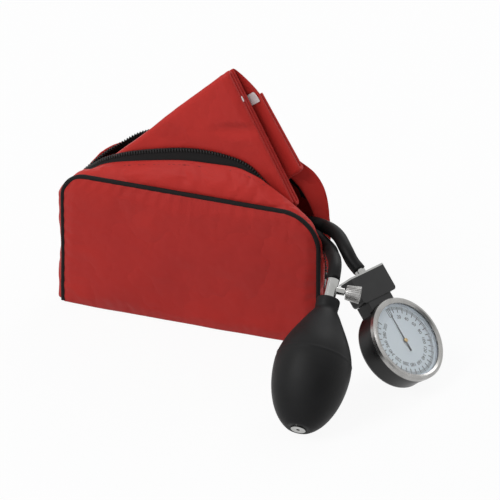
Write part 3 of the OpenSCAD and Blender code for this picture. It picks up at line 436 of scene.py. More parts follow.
def join(name: str, parts: list[Piece]) -> Piece:
    """Joins objects into one.

    Args:
        name: the joined piece's name.
        parts: the objects.

    Returns:
        The joined object.
    """
    pick(parts[0])
    for part in parts:
        part.select_set(True)
    bpy.ops.object.join()
    parts[0].name = parts[0].data.name = name
    return parts[0]


def copies(name: str, master: Piece, places: list[Matrix]) -> Piece:
    """Copies a piece to many places and joins the copies.

    Args:
        name: the joined piece's name.
        master: the piece that is modelled once; it is used up.
        places: where each copy goes.

    Returns:
        The joined copies.
    """
    made = []
    for k, spot in enumerate(places):
        twin = link(f"{name}_{k}", master.data.copy())
        twin.data.transform(spot)
        made.append(twin)
    bpy.data.objects.remove(master)
    return join(name, made)


def settle(obj: Piece, sewn: np.ndarray, pressure: float, growth: float, cap: float) -> None:
    """Lets a sheet swell and wrinkle as cloth that is held where it is sewn.

    Args:
        obj: the sheet, in metres.
        sewn: which of its points are held.
        pressure: how hard it is blown towards the front of its faces.
        growth: how much larger the cloth is than its frame, as a share.
        cap: how far a point may move at most, in millimetres.
    """
    scene = bpy.context.scene
    before = np.array([v.co for v in obj.data.vertices])
    obj.data.transform(Matrix.Scale(CLOTH_SCALE, 4))
    group = obj.vertex_groups.new(name="sewn")
    group.add([int(k) for k in np.flatnonzero(sewn)], 1.0, "REPLACE")
    modifier = obj.modifiers.new("cloth", "CLOTH")
    cloth = modifier.settings
    cloth.quality = 5
    cloth.mass = 0.02
    cloth.tension_stiffness = cloth.compression_stiffness = 12
    cloth.shear_stiffness = 6
    cloth.bending_stiffness = 0.4
    cloth.shrink_min = -growth
    cloth.use_pressure = True
    cloth.uniform_pressure_force = pressure
    cloth.vertex_group_mass = "sewn"
    cloth.effector_weights.gravity = 0.0
    modifier.point_cache.frame_start, modifier.point_cache.frame_end = 1, CLOTH_FRAMES
    for frame in range(1, CLOTH_FRAMES + 1):
        scene.frame_set(frame)
    pick(obj)
    bpy.ops.object.modifier_apply(modifier=modifier.name)
    scene.frame_set(1)
    obj.vertex_groups.clear()
    obj.data.transform(Matrix.Scale(1 / CLOTH_SCALE, 4))
    move = np.array([v.co for v in obj.data.vertices]) - before
    size = np.linalg.norm(move, axis=1, keepdims=True)
    if not np.isfinite(size).all():
        move, size = np.zeros_like(move), np.zeros_like(size)
    move *= np.minimum(1.0, cap * MM / np.maximum(size, 1e-9))
    for vertex, spot in zip(obj.data.vertices, before + move):
        vertex.co = spot
    obj.data.update()
    log.info("%s: moved up to %.1f mm as cloth", obj.name, float(size.max()) / MM)


class ShaderSheet:
    """A node tree with short ways to add and join nodes."""

    def __init__(self, tree: bpy.types.NodeTree) -> None:
        """Wraps a node tree."""
        self.tree = tree

    def feed(self, target: Socket, value: object) -> None:
        """Links an input to another socket, or sets its value.

        Args:
            target: the input.
            value: an output socket, a number or a colour.
        """
        if isinstance(value, Socket):
            self.tree.links.new(value, target)
        else:
            target.default_value = value

    def fill(self, node: bpy.types.Node, values: dict[str, object]) -> bpy.types.Node:
        """Feeds a node's inputs.

        Args:
            node: the node.
            values: numbers, colours or sockets by input name, with underscores for spaces, or by
                input number, as i0.

        Returns:
            The node.
        """
        for key, value in values.items():
            numbered = key[0] == "i" and key[1:].isdigit()
            self.feed(node.inputs[int(key[1:]) if numbered else key.replace("_", " ")], value)
        return node

    def add(self, kind: str, operation: str | None = None, **values: object) -> bpy.types.Node:
        """Adds a node.

        Args:
            kind: its type.
            operation: its operation, where it has one.
            values: what its inputs get, as fill takes it.

        Returns:
            The new node.
        """
        made = self.tree.nodes.new(kind)
        if operation:
            made.operation = operation
        return self.fill(made, values)

    def group(self, tree: bpy.types.NodeTree, **values: object) -> bpy.types.Node:
        """Adds a node group.

        Args:
            tree: the group.
            values: what its inputs get, as fill takes it.

        Returns:
            The new node.
        """
        made = self.tree.nodes.new("ShaderNodeGroup")
        made.node_tree = tree
        return self.fill(made, values)

    def math(self, operation: str, a: object, b: object = 0.0) -> Socket:
        """Returns the output of a Math node on a and b."""
        return self.add("ShaderNodeMath", operation, i0=a, i1=b).outputs[0]

    def blend(self, factor: object, a: object, b: object) -> Socket:
        """Mixes two colours.

        Args:
            factor: 0 for a, 1 for b.
            a: a colour.
            b: another colour.

        Returns:
            The mixed colour.
        """
        made = self.tree.nodes.new("ShaderNodeMix")
        made.data_type = "RGBA"
        return self.fill(made, {"i0": factor, "i6": a, "i7": b}).outputs[2]

    def ramp(self, value: object, low: float, high: float) -> Socket:
        """Returns value stretched so that low becomes 0 and high becomes 1."""
        return self.add("ShaderNodeMapRange", Value=value, From_Min=low, From_Max=high).outputs[0]

    def noise(self, place: Socket, scale: object, detail: float) -> Socket:
        """Returns a noise pattern."""
        return self.add("ShaderNodeTexNoise", Vector=place, Scale=scale, Detail=detail).outputs[0]

    def bump(self, height: Socket, strength: float, distance: float, **under: Socket) -> Socket:
        """Returns the normal of a bump that is distance metres deep, over Normal if it is given."""
        values = {"Height": height, "Strength": strength, "Distance": distance, **under}
        return self.add("ShaderNodeBump", **values).outputs[0]


class Effects:
    """Node groups that more than one material uses, each built once."""

    @staticmethod
    def start(name: str, numbers: Sequence[str], results: Sequence[str]) -> tuple[ShaderSheet, object]:
        """Starts a group with a Vector input.

        Args:
            name: the group's name.
            numbers: its number inputs.
            results: its outputs.

        Returns:
            The sheet to build it on, and the sockets of its inputs.
        """
        tree = bpy.data.node_groups.new(name, "ShaderNodeTree")
        tree.interface.new_socket("Vector", in_out="INPUT", socket_type="NodeSocketVector")
        for way, keys in (("INPUT", numbers), ("OUTPUT", results)):
            for key in keys:
                tree.interface.new_socket(key, in_out=way, socket_type="NodeSocketFloat")
        sheet = ShaderSheet(tree)
        return sheet, sheet.add("NodeGroupInput").outputs

    @staticmethod
    @cache
    def weave() -> bpy.types.NodeTree:
        """Builds a plain weave.

        Returns:
            A group with the Height of the threads, and the Shade of the gaps between them, which the cloth
            uses as painted shade.
        """
        sheet, given = Effects.start("weave", ["Threads"], ["Height", "Shade"])
        scaled = sheet.add("ShaderNodeVectorMath", "SCALE", i0=given["Vector"], Scale=given["Threads"])
        x, y, _ = sheet.add("ShaderNodeSeparateXYZ", i0=scaled.outputs[0]).outputs
        warp = sheet.math("ABSOLUTE", sheet.math("SINE", x))
        weft = sheet.math("ABSOLUTE", sheet.math("SINE", y))
        over = sheet.math("SINE", sheet.math("ADD", x, y))
        mixed = sheet.math("ADD", sheet.math("MULTIPLY", warp, 0.5), sheet.math("MULTIPLY", weft, 0.4))
        height = sheet.math("ADD", mixed, sheet.math("MULTIPLY", over, 0.1))
        sheet.add("NodeGroupOutput", Height=height, Shade=sheet.ramp(mixed, 0.1, 0.6))
        return sheet.tree

    @staticmethod
    @cache
    def grain() -> bpy.types.NodeTree:
        """Builds fine grain.

        Returns:
            A group with a Height for a bump, and a Patch that changes slowly from place to place.
        """
        sheet, given = Effects.start("grain", ["Fine", "Coarse"], ["Height", "Patch"])
        fine = sheet.noise(given["Vector"], given["Fine"], 4.0)
        coarse = sheet.noise(given["Vector"], given["Coarse"], 3.0)
        sheet.add("NodeGroupOutput", Height=fine, Patch=sheet.ramp(coarse, 0.3, 0.7))
        return sheet.tree

    @staticmethod
    @cache
    def creases() -> bpy.types.NodeTree:
        """Builds the soft creases of handled cloth.

        Returns:
            A group with their Height.
        """
        sheet, given = Effects.start("creases", ["Size"], ["Height"])
        bend = sheet.math("SUBTRACT", sheet.noise(given["Vector"], given["Size"], 3.0), 0.5)
        sheet.add("NodeGroupOutput", Height=sheet.ramp(sheet.math("ABSOLUTE", bend), 0.0, 0.22))
        return sheet.tree


@dataclass(frozen=True)
class Finish:
    """A surface: colours, gloss and grain, with no pattern of its own."""

    name: str
    colour: tuple[float, float, float]
    other: tuple[float, float, float]
    roughness: float = 0.5
    rough_change: float = 0.1
    metallic: float = 0.0
    grain: float = 0.1
    fine: float = 900.0
    coarse: float = 25.0
    sheen: float = 0.0
    specular: float = 0.5
    coords: Coords = Coords.OBJECT

    def build(self) -> bpy.types.Material:
        """Builds the material.

        Returns:
            The finished material.
        """
        material = bpy.data.materials.new(self.name)
        material.use_nodes = True
        sheet = ShaderSheet(material.node_tree)
        shader = material.node_tree.nodes["Principled BSDF"]
        sheet.fill(shader, {"Metallic": self.metallic, "Sheen Weight": self.sheen,
                            "Specular IOR Level": self.specular})
        self.surface(sheet, shader, sheet.add("ShaderNodeTexCoord").outputs)
        return material

    def surface(self, sheet: ShaderSheet, shader: bpy.types.Node, places: object) -> None:
        """Adds the finish's pattern.

        Args:
            sheet: the material's sheet.
            shader: its shader.
            places: the sockets of its coordinates.
        """
        grain, base = self.grained(sheet, shader, places[self.coords.value])
        normal = sheet.bump(grain.outputs["Height"], self.grain, 0.0002)
        sheet.fill(shader, {"Base Color": base, "Normal": normal})

    def rough(self, sheet: ShaderSheet, shader: bpy.types.Node, change: Socket) -> None:
        """Feeds the roughness, which grows with a socket from 0 to 1."""
        rough = sheet.math("ADD", sheet.math("MULTIPLY", change, self.rough_change), self.roughness)
        sheet.feed(shader.inputs["Roughness"], rough)

    def grained(self, sheet: ShaderSheet, shader: bpy.types.Node,
                place: Socket) -> tuple[bpy.types.Node, Socket]:
        """Adds grain and feeds the roughness.

        Args:
            sheet: the material's sheet.
            shader: its shader.
            place: the socket of the grain's coordinates.

        Returns:
            The grain's node and the base colour.
        """
        grain = sheet.group(Effects.grain(), Vector=place, Fine=self.fine, Coarse=self.coarse)
        patch = grain.outputs["Patch"]
        self.rough(sheet, shader, patch)
        return grain, sheet.blend(patch, (*self.colour, 1), (*self.other, 1))


@dataclass(frozen=True)
class Cloth(Finish):
    """Woven cloth with creases."""

    coords: Coords = Coords.UV
    threads: float = 5200.0
    weave: float = 0.25
    crease: float = 0.35
    crease_size: float = 26.0
    # painted shade in the gaps between the threads: how dark it is, and how much of it is mixed in
    gap_shade: float = 0.72
    gap_share: float = 0.35

    def surface(self, sheet: ShaderSheet, shader: bpy.types.Node, places: object) -> None:
        """Adds the weave, with painted shade in its gaps, over the creases and the grain.

        Args:
            sheet: the material's sheet.
            shader: its shader.
            places: the sockets of its coordinates.
        """
        solid = places[Coords.OBJECT.value]
        weave = sheet.group(Effects.weave(), Vector=places[self.coords.value], Threads=self.threads)
        creases = sheet.group(Effects.creases(), Vector=solid, Size=self.crease_size)
        base = self.grained(sheet, shader, solid)[1]
        # painted shade: the colour darkens in the weave's gaps
        dark = (*(c * self.gap_shade for c in self.colour), 1)
        gap = sheet.math("SUBTRACT", 1.0, weave.outputs["Shade"])
        base = sheet.blend(sheet.math("MULTIPLY", gap, self.gap_share), base, dark)
        normal = sheet.bump(creases.outputs["Height"], self.crease, 0.002)
        normal = sheet.bump(weave.outputs["Height"], self.weave, 0.00015, Normal=normal)
        sheet.fill(shader, {"Base Color": base, "Normal": normal})


@dataclass(frozen=True)
class Glass(Finish):
    """Clear crystal."""

    def surface(self, sheet: ShaderSheet, shader: bpy.types.Node, places: object) -> None:
        """Makes the surface clear, with faint smears in its gloss."""
        sheet.fill(shader, {"Transmission Weight": 1.0, "IOR": 1.45, "Base Color": (*self.colour, 1)})
        self.rough(sheet, shader, sheet.noise(places[self.coords.value], self.coarse, 3.0))


NYLON = {"roughness": 0.52, "rough_change": 0.12, "sheen": 0.06, "specular": 0.22}
RED = Cloth("red_nylon", (0.42, 0.020, 0.0160), (0.475, 0.025, 0.0190), crease=0.45, **NYLON)
# painted light: the same red nylon made lighter for the flaps and the cuff, standing in for the brighter
# light that falls on them
RED_WITH_PAINTED_LIGHT = Cloth("red_nylon_painted_light", (0.485, 0.0235, 0.0180), (0.535, 0.0275, 0.0205), crease=0.4, **NYLON)
HOOKS = Cloth("hook_cloth", (0.22, 0.010, 0.010), (0.28, 0.016, 0.014), roughness=0.9, sheen=0.2,
              specular=0.15, threads=2400.0, weave=0.9, crease=0.1)
BLACK_CLOTH = Cloth("black_braid", (0.009, 0.008, 0.008), (0.014, 0.013, 0.013), roughness=0.75,
                    specular=0.18, threads=3400.0, weave=0.6, crease=0.0)
LABEL = Cloth("white_label", (0.78, 0.70, 0.70), (0.85, 0.80, 0.80), roughness=0.7, threads=4000.0,
              crease=0.1)
THREAD = Finish("red_thread", (0.20, 0.008, 0.008), (0.27, 0.014, 0.012), roughness=0.6, grain=0.4,
                fine=4000.0)
TEETH = Finish("zip_teeth", (0.012, 0.012, 0.012), (0.026, 0.026, 0.026), roughness=0.42, grain=0.1,
               specular=0.3)
RUBBER = Finish("black_rubber", (0.0075, 0.0075, 0.0075), (0.012, 0.012, 0.0125), roughness=0.46,
                rough_change=0.14, specular=0.16, grain=0.12, fine=1400.0, coarse=60.0)
HOSE_RUBBER = Finish("hose_rubber", (0.006, 0.006, 0.006), (0.010, 0.010, 0.010), roughness=0.42,
                     specular=0.12, rough_change=0.15, grain=0.1, fine=1600.0, coarse=90.0)
PLASTIC = Finish("black_plastic", (0.006, 0.006, 0.0062), (0.011, 0.011, 0.011), roughness=0.27,
                 specular=0.35, rough_change=0.1, grain=0.15, fine=2600.0, coarse=80.0)
CHROME = Finish("chrome", (0.44, 0.44, 0.43), (0.36, 0.36, 0.35), roughness=0.1, rough_change=0.1,
                metallic=1.0, grain=0.03, fine=2500.0, coarse=140.0)
SATIN = Finish("satin_silver", (0.46, 0.455, 0.445), (0.33, 0.325, 0.32), roughness=0.3, rough_change=0.14,
               metallic=1.0, grain=0.1, fine=3500.0, coarse=200.0)
BEZEL = Finish("bezel_metal", (0.40, 0.395, 0.385), (0.33, 0.325, 0.315), roughness=0.24, rough_change=0.1,
               metallic=1.0, grain=0.06, fine=3000.0, coarse=120.0)
LACQUER = Finish("black_lacquer", (0.020, 0.020, 0.021), (0.032, 0.032, 0.033), roughness=0.3,
                 rough_change=0.12, metallic=0.4, grain=0.05, fine=3000.0, coarse=150.0)
BRASS = Finish("brass", (0.70, 0.48, 0.20), (0.58, 0.38, 0.15), roughness=0.3, rough_change=0.15,
               metallic=1.0, grain=0.1, fine=2600.0, coarse=120.0)
DIAL = Finish("dial_white", (0.83, 0.90, 0.97), (0.87, 0.94, 0.99), roughness=0.55, rough_change=0.05,
              grain=0.04, fine=3000.0, coarse=40.0)
RING = Finish("ring_white", (0.72, 0.76, 0.82), (0.66, 0.70, 0.76), roughness=0.5, grain=0.05)
INK = Finish("black_ink", (0.012, 0.012, 0.016), (0.025, 0.025, 0.03), roughness=0.5, grain=0.05, fine=4000.0)
CRYSTAL = Glass("crystal", (0.97, 0.985, 0.99), (1, 1, 1), roughness=0.0, rough_change=0.02, coarse=40.0)


@cache
def paint(finish: Finish) -> bpy.types.Material:
    """Returns the finish's material, which is built once."""
    return finish.build()


def place(obj: Piece, body: Body, slot: str, finish: Finish, *nodes: str) -> None:
    """Hands a finished piece over.

    Args:
        obj: the piece.
        body: the body that it rides on.
        slot: the record's material slot; not used.
        finish: what it is made of.
        nodes: the CAD nodes that it replaces.
    """
    obj.data.materials.clear()
    obj.data.materials.append(paint(finish))
    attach(obj, body.value)
    if nodes:
        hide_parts(*nodes)
    log.info("%s: %d faces", obj.name, len(obj.data.polygons))


@dataclass
class Studio:
    """Camera, floor, dark cards and lights."""

    azimuth: float = 20.0
    elevation: float = 29.0
    span: float = 0.335
    distance: float = 5.0
    centre: tuple[float, float] = (33.0, 40.3)
    depth: float = 80.0
    sensor: float = 36.0
    floor_glow: float = 0.93
    sky_colour: tuple[float, ...] = (0.93, 0.96, 1.0, 1)
    sky_power: float = 0.42
    lamp_aim: Point = (0.03, -0.03, 0.06)
    card_aim: Point = (0.13, -0.06, 0.05)
    lamps: tuple = (("key", (-0.75, -1.1, 1.5), 0.9, 17.5), ("fill", (1.5, -1.0, 0.9), 1.1, 7.0),
                    ("rim", (0.3, 1.3, 1.3), 0.9, 8.0))
    cards: tuple = (("card_right", (0.62, -0.42, 0.30), 0.5, 0.5),
                    ("card_left", (-0.55, -0.62, 0.10), 0.35, 0.5))

    def camera(self) -> None:
        """Sets up the camera at the photograph's angle."""
        a, e = math.radians(self.azimuth), math.radians(self.elevation)
        right = Vector((math.cos(a), math.sin(a), 0))
        back = Vector((math.sin(a) * math.cos(e), -math.cos(a) * math.cos(e), math.sin(e)))
        up = back.cross(right)
        target = (right * self.centre[0] + up * self.centre[1] + back * self.depth) * MM
        data = bpy.data.cameras.new("camera")
        data.sensor_width = self.sensor
        data.lens = self.sensor * self.distance / self.span
        data.clip_end = 50.0
        obj = link("camera", data)
        obj.matrix_world = Matrix((right, up, back)).transposed().to_4x4()
        obj.location = target + back * self.distance
        bpy.context.scene.camera = obj

    def lamp(self, name: str, spot: Point, size: float, power: float) -> None:
        """Adds a square soft lamp that looks at the object.

        Args:
            name: the lamp's name.
            spot: its place, in metres.
            size: its side, in metres.
            power: in watts.
        """
        data = bpy.data.lights.new(name, "AREA")
        data.shape = "SQUARE"
        data.size = size
        data.energy = power
        obj = link(name, data)
        obj.location = spot
        obj.rotation_euler = (Vector(self.lamp_aim) - Vector(spot)).to_track_quat("-Z", "Y").to_euler()

    @staticmethod
    def white_when_seen(tree: bpy.types.NodeTree, shader: Socket, out: Socket, bare: str,
                        share: float) -> None:
        """Shows white to the camera, mirrors and glass, and a shader to everything else.

        Args:
            tree: the node tree.
            shader: what lights and shades the object.
            out: the output's surface socket.
            bare: the node type of the white.
            share: how much of the white is seen.
        """
        sheet = ShaderSheet(tree)
        rays = sheet.add("ShaderNodeLightPath").outputs
        seen = sheet.math("MAXIMUM", rays["Is Camera Ray"], rays["Is Glossy Ray"])
        seen = sheet.math("MAXIMUM", seen, rays["Is Transmission Ray"])
        white = sheet.add(bare, i0=(1, 1, 1, 1)).outputs[0]
        seen = sheet.math("MULTIPLY", seen, share)
        sheet.feed(out, sheet.add("ShaderNodeMixShader", i0=seen, i1=shader, i2=white).outputs[0])

    def world(self) -> None:
        """Lights the scene with a plain pale sky that is white where it is seen."""
        world = bpy.data.worlds.new("sky")
        world.use_nodes = True
        bpy.context.scene.world = world
        nodes = world.node_tree.nodes
        sky = nodes["Background"]
        sky.inputs[0].default_value = self.sky_colour
        sky.inputs[1].default_value = self.sky_power
        self.white_when_seen(world.node_tree, sky.outputs[0], nodes["World Output"].inputs[0],
                             "ShaderNodeBackground", 1.0)

    @staticmethod
    def board(name: str, grey: float, size: float) -> Piece:
        """Adds a dull grey square to the stage.

        Args:
            name: its name.
            grey: how light it is.
            size: its side, in metres.

        Returns:
            The square.
        """
        bpy.ops.mesh.primitive_plane_add(size=size)
        obj = bpy.context.object
        obj.name = name
        material = bpy.data.materials.new(name)
        material.use_nodes = True
        ShaderSheet(material.node_tree).fill(material.node_tree.nodes["Principled BSDF"],
                                             {"Base Color": (grey, grey, grey, 1), "Roughness": 0.9})
        obj.data.materials.append(material)
        return obj

    def build(self) -> None:
        """Sets up the whole studio; the cards are out of the picture and darken the metal's edges."""
        self.camera()
        self.world()
        floor = self.board("floor", 0.9, 8)
        floor.location.z = -0.0004
        tree = floor.active_material.node_tree
        self.white_when_seen(tree, tree.nodes["Principled BSDF"].outputs[0],
                             tree.nodes["Material Output"].inputs[0], "ShaderNodeEmission", self.floor_glow)
        for name, spot, wide, high in self.cards:
            card = self.board(name, 0.02, 1)
            turn = (Vector(self.card_aim) - Vector(spot)).to_track_quat("Z", "Y").to_matrix().to_4x4()
            card.data.transform(Matrix.Translation(spot) @ turn @ Matrix.Diagonal((wide, high, 1, 1)))
            card.visible_camera = False
        for lamp in self.lamps:
            self.lamp(*lamp)
        bpy.context.scene.view_settings.view_transform = "Standard"


@dataclass
class Hoses:
    """The two rubber hoses."""

    diameter: float = 9.0
    sides: int = 24

    def hose(self, name: str, node: str, route: Sequence[Point]) -> None:
        """Makes one hose.

        Args:
            name: the piece's name.
            node: the CAD node that it replaces.
            route: its points, in millimetres.
        """
        line = smooth_line(route)
        obj = tube(name, line, self.diameter / 2, self.sides)
        place(obj, Body.CUFF, "black_rubber", HOSE_RUBBER, node)

    def build(self) -> None:
        """Makes both hoses."""
        self.hose("hose_to_bulb", "bulb_hose", BULB_ROUTE)
        self.hose("hose_to_gauge", "gauge_hose", GAUGE_ROUTE)


@dataclass(frozen=True)
class Side:
    """The front or the rear of the case: its panel's outline and its half of the zip."""

    tag: str
    out: int  # -1 for the front, 1 for the rear
    width: float
    corner: float
    left_corner: float
    left_pull: float
    right_pull: float
    bulge: float
    edge: Sequence[Point]
    teeth: Sequence[Point]
    cover: tuple[float, float, float, float]  # from x, to x, share of the gap, lift
    tuck: tuple[float, float]  # how deep the tape goes, and how much more at the right
    height: float = 100.0
    half_depth: float = 21.0

    @property
    def y(self) -> float:
        """Where the gussets and the flap are sewn to the panel."""
        return self.half_depth * self.out

    def bend(self, x: float) -> float:
        """Returns the corner radius on the side of x."""
        return self.left_corner if x < 0 else self.corner

    def drawn_in(self, x: float, z: float) -> float:
        """Finds how far the seam is pulled towards the middle at a point.

        Args:
            x: its place across.
            z: its height.

        Returns:
            The change of x.
        """
        if x > 0:
            return -self.right_pull * clamp((x - 40) / 40)
        share = clamp((z - 8) / 34) * clamp((-x - 30) / 50)
        return self.left_pull * share * share * (3 - 2 * share)

    def at(self, x: float, z: float, stand: float = 0.0) -> tuple[float, float, float]:
        """Returns a point of the panel as it is drawn in, standing out by stand."""
        return x + self.drawn_in(x, z), self.y + self.out * stand, z

    def half_width(self, z: float, x: float) -> float:
        """Finds half of the panel's width.

        Args:
            z: the height.
            x: a place on the side that is meant.

        Returns:
            The half width.
        """
        bend = self.bend(x)
        rise = max(0.0, z - self.height + bend)
        return self.width / 2 - bend + math.sqrt(max(bend ** 2 - rise ** 2, 0.0))

    def nearest(self, p: np.ndarray) -> np.ndarray:
        """Finds the nearest point of the panel's outline.

        Args:
            p: a point of the mouth.

        Returns:
            The outline's point.
        """
        bend = self.bend(p[0])
        foot = self.height - bend
        if p[2] < foot:
            return np.array([math.copysign(self.width / 2, p[0]) + self.drawn_in(p[0], p[2]), self.y, p[2]])
        middle = min(max(p[0], bend - self.width / 2), self.width / 2 - bend)
        away = unit(np.array([p[0] - middle, p[2] - foot]))
        return np.array(self.at(middle + bend * away[0], foot + bend * away[1]))

    def side_line(self, side: int, top: float) -> np.ndarray:
        """Returns the panel's left (-1) or right (1) side from the floor up to a height."""
        return np.array([self.at(side * self.half_width(z, side), z) for z in np.linspace(0.4, top, 40)])

    def outline(self, stand: float) -> np.ndarray:
        """Draws the panel's outline from the left foot over the top to the right foot.

        Args:
            stand: how far it stands out of the panel.

        Returns:
            The outline's points.
        """
        sides = []
        for side in (-1, 1):
            bend = self.bend(side)
            foot = self.height - bend
            line = [(side * self.width / 2, z) for z in np.linspace(2, foot, 24)]
            line += [(side * (self.width / 2 - bend + bend * math.cos(a)), foot + bend * math.sin(a))
                     for a in np.linspace(0, math.pi / 2, 18)[1:]]
            sides.append(line)
        top = [(x, self.height) for x in np.linspace(sides[0][-1][0], sides[1][-1][0], 36)[1:-1]]
        return np.array([self.at(x, z, stand) for x, z in sides[0] + top + sides[1][::-1]])


FRONT = Side("front", -1, width=184.0, corner=26.0, left_corner=17.0, left_pull=0.6, right_pull=0.0,
             bulge=2.6, edge=FRONT_EDGE, teeth=FRONT_TEETH, cover=(40, 66, 0.85, 0.9), tuck=(4.0, 0.0))
REAR = Side("rear", 1, width=170.0, corner=20.0, left_corner=20.0, left_pull=0.0, right_pull=3.2,
            bulge=2.2, edge=REAR_EDGE, teeth=REAR_TEETH, cover=(34, 58, 1.1, -2.4), tuck=(11.0, 9.0))


@dataclass
class Case:
    """The zip case: cloth shell, piping, tapes and teeth."""

    cloth: float = 1.2
    tape: float = 0.6
    base: float = 2.0
    piping: float = 1.6
    panel_stand: float = 2.2
    soft_edge: float = 9.0
    pucker: float = 0.55
    pucker_fade: float = 8.0
    gusset_depth: float = 0.043
    right_top: float = 34.0
    stitch_pitch: float = 3.6
    stitch_in: float = 2.4
    stitch_long: float = 1.35
    thread: float = 0.26
    tooth_pitch: float = 2.0
    tooth: tuple[float, float, float] = (1.25, 0.8, 0.9)  # across, over and along the tape
    tooth_wire: float = 0.5

    def sewn(self, name: str, points: np.ndarray, flip: bool, last: int, *settling: float) -> Piece:
        """Makes cloth that settles inside its sewn edges.

        Args:
            name: the piece's name.
            points: its rows of points.
            flip: whether its faces turn the other way.
            last: the column where the part that may move ends.
            settling: pressure, growth and cap, as settle takes them.

        Returns:
            The cloth.
        """
        obj = grid(name, points, flip=flip)
        held = np.ones(points.shape[:2], bool)
        held[1:-1, 1:last] = False
        settle(obj, held.ravel(), *settling)
        thicken(obj, self.cloth)
        return obj

    def panel(self, side: Side) -> None:
        """Makes the front or rear panel as a soft crowned sheet.

        Args:
            side: the panel's side of the case.
        """
        foot, y = side.height - side.corner, side.y + side.out * self.panel_stand
        curve = foot + side.corner * np.sin(np.linspace(0, math.pi / 2, 16)[1:])
        rows = []
        for z in np.concatenate([np.linspace(0.4, foot, 34), curve]):
            row, head = [], side.height - z
            for t in np.linspace(-1, 1, 89):
                half = side.half_width(z, t)
                x = t * half
                sides = half - abs(x)
                rim = clamp(min(sides, head, z + 3) / self.soft_edge)
                swell = (0.35 + 0.65 * (1 - t * t)) * side.bulge * math.sin(math.pi * min(1, (z + 12) / 118))
                wrinkle = 1.5 * ripple(x, y, z, 42)
                wrinkle += 0.6 * ripple(x * 0.7 + z * 0.7, y, z * 0.9 - x * 0.35, 15)
                pucker = math.exp(-head / self.pucker_fade) * math.sin(0.74 * x + 3 * ripple(x, y, 0, 30))
                pucker += math.exp(-sides / self.pucker_fade) * math.sin(0.66 * z + 3 * ripple(z, y, 9, 30))
                lift = rim * (2 - rim) * (swell + wrinkle) + min(1.0, rim * 4) * self.pucker * pucker
                row.append(side.at(x, z, self.panel_stand + lift))
            rows.append(row)
        obj = self.sewn(f"case_{side.tag}_cloth", np.array(rows), side.out > 0, -1, 6.0, 0.012, 2.5)
        place(obj, Body.CASE, "red_nylon", RED, f"case_{side.tag}_panel")

    def band(self, name: str, first: np.ndarray, second: np.ndarray, puff: float, columns: int, flip: bool,
             lean: float = 1.0, groove: float = 0.0, lip: np.ndarray | None = None,
             fade: float = 0.0) -> Piece:
        """Makes cloth between two lines, puffed out between them.

        Args:
            name: the piece's name.
            first: the line that it starts from.
            second: the line that it reaches.
            puff: how far it stands out, in millimetres.
            columns: points across it.
            flip: whether its faces turn the other way.
            lean: under 1 puts the fullest place nearer to the first line.
            groove: how deep the row of stitches near the second line sinks, in millimetres.
            lip: where the cloth goes on beyond the second line, if it does.
            fade: over what height below its top the puff dies away, in millimetres.

        Returns:
            The band.
        """
        rows = []
        run = distances(second)
        for i, (a, b, along) in enumerate(zip(first, second, directions(first + second))):
            out = unit(np.cross(along, b - a)) * (-1 if flip else 1)
            wide = float(np.linalg.norm(b - a))
            full = puff * (clamp((first[-1][2] - a[2]) / fade) if fade else 1.0)
            sink = groove * (0.65 + 0.35 * math.cos(2 * math.pi * run[i] / self.stitch_pitch))
            row = []
            for u in np.linspace(0, 1, columns):
                t = 1 - (1 - u) ** 1.4 if groove else u
                p = a + (b - a) * t
                fold = math.sin(math.pi * t ** lean) if 0 < t < 1 else 0.0
                lift = fold * (0.9 * ripple(*p, 24) + 0.4 * ripple(p[0], p[1] + 50, p[2], 9))
                lift += full * fold ** 0.8 - sink * bell((wide * (1 - t) - self.stitch_in) / 0.9)
                row.append(p + out * lift)
            if lip is not None:
                row += [b + (lip[i] - b) * t + out * 0.5 * math.sin(math.pi * min(t + 0.2, 1.0))
                        for t in (0.3, 0.62, 1.0)]
            rows.append(row)
        pressure = 4.0 if lean == 1.0 else 1.0
        return self.sewn(name, np.array(rows), not flip, columns - 3, pressure, 0.015, 1.6)

    def stitches(self, name: str, line: np.ndarray, normals: np.ndarray) -> Piece:
        """Sews a row of stitches.

        Args:
            name: the piece's name.
            line: where the thread runs.
            normals: the cloth's outward direction along it.

        Returns:
            The stitches as one object.
        """
        count = int(distances(line)[-1] / self.stitch_pitch) * 2
        at, up = even_line(line, count + 1), unit(even_line(normals, count + 1))
        parts = []
        for k in range(0, count - 1, 2):
            a, b, n = at[k], at[k] + (at[k + 1] - at[k]) * self.stitch_long, up[k]
            mid = (a + b) / 2 + n * 0.28
            near = [end * 0.7 + mid * 0.3 + n * 0.12 for end in (a, b)]
            parts.append(np.array([a - n * 0.1, near[0], mid, near[1], b - n * 0.1]))
        return threads(name, parts, self.thread, 5)

    def coil(self, name: str, line: np.ndarray, across: np.ndarray) -> Piece:
        """Makes the zip's coil of teeth along a line.

        Args:
            name: the piece's name.
            line: where the teeth sit.
            across: the direction over the tape to the teeth, along the line.

        Returns:
            The teeth as one object.
        """
        count = int(distances(line)[-1] / self.tooth_pitch)
        at, over = even_line(line, count), unit(even_line(across, count))
        wide, high, long = self.tooth
        lines = []
        for p, o, d in zip(at, over, directions(at)):
            n = unit(np.cross(d, o))
            lines.append(np.array([p + (wide * math.cos(a) * o + high * math.sin(a) * n)
                                   + d * (a / 6.3 - 0.5) * long for a in np.linspace(0, 2 * math.pi, 10)]))
        return threads(name, lines, self.tooth_wire, 6)

    def mouth(self, side: Side) -> None:
        """Makes one side of the mouth: its flap, tape, teeth and stitches.

        Args:
            side: the side of the case.
        """
        rim, bead = smooth_line(side.edge), smooth_line(side.teeth)
        base = np.array([side.nearest(p) for p in rim])
        rise = unit(rim - base)
        facing = unit(np.cross(directions(rim), rim - base)) * -side.out
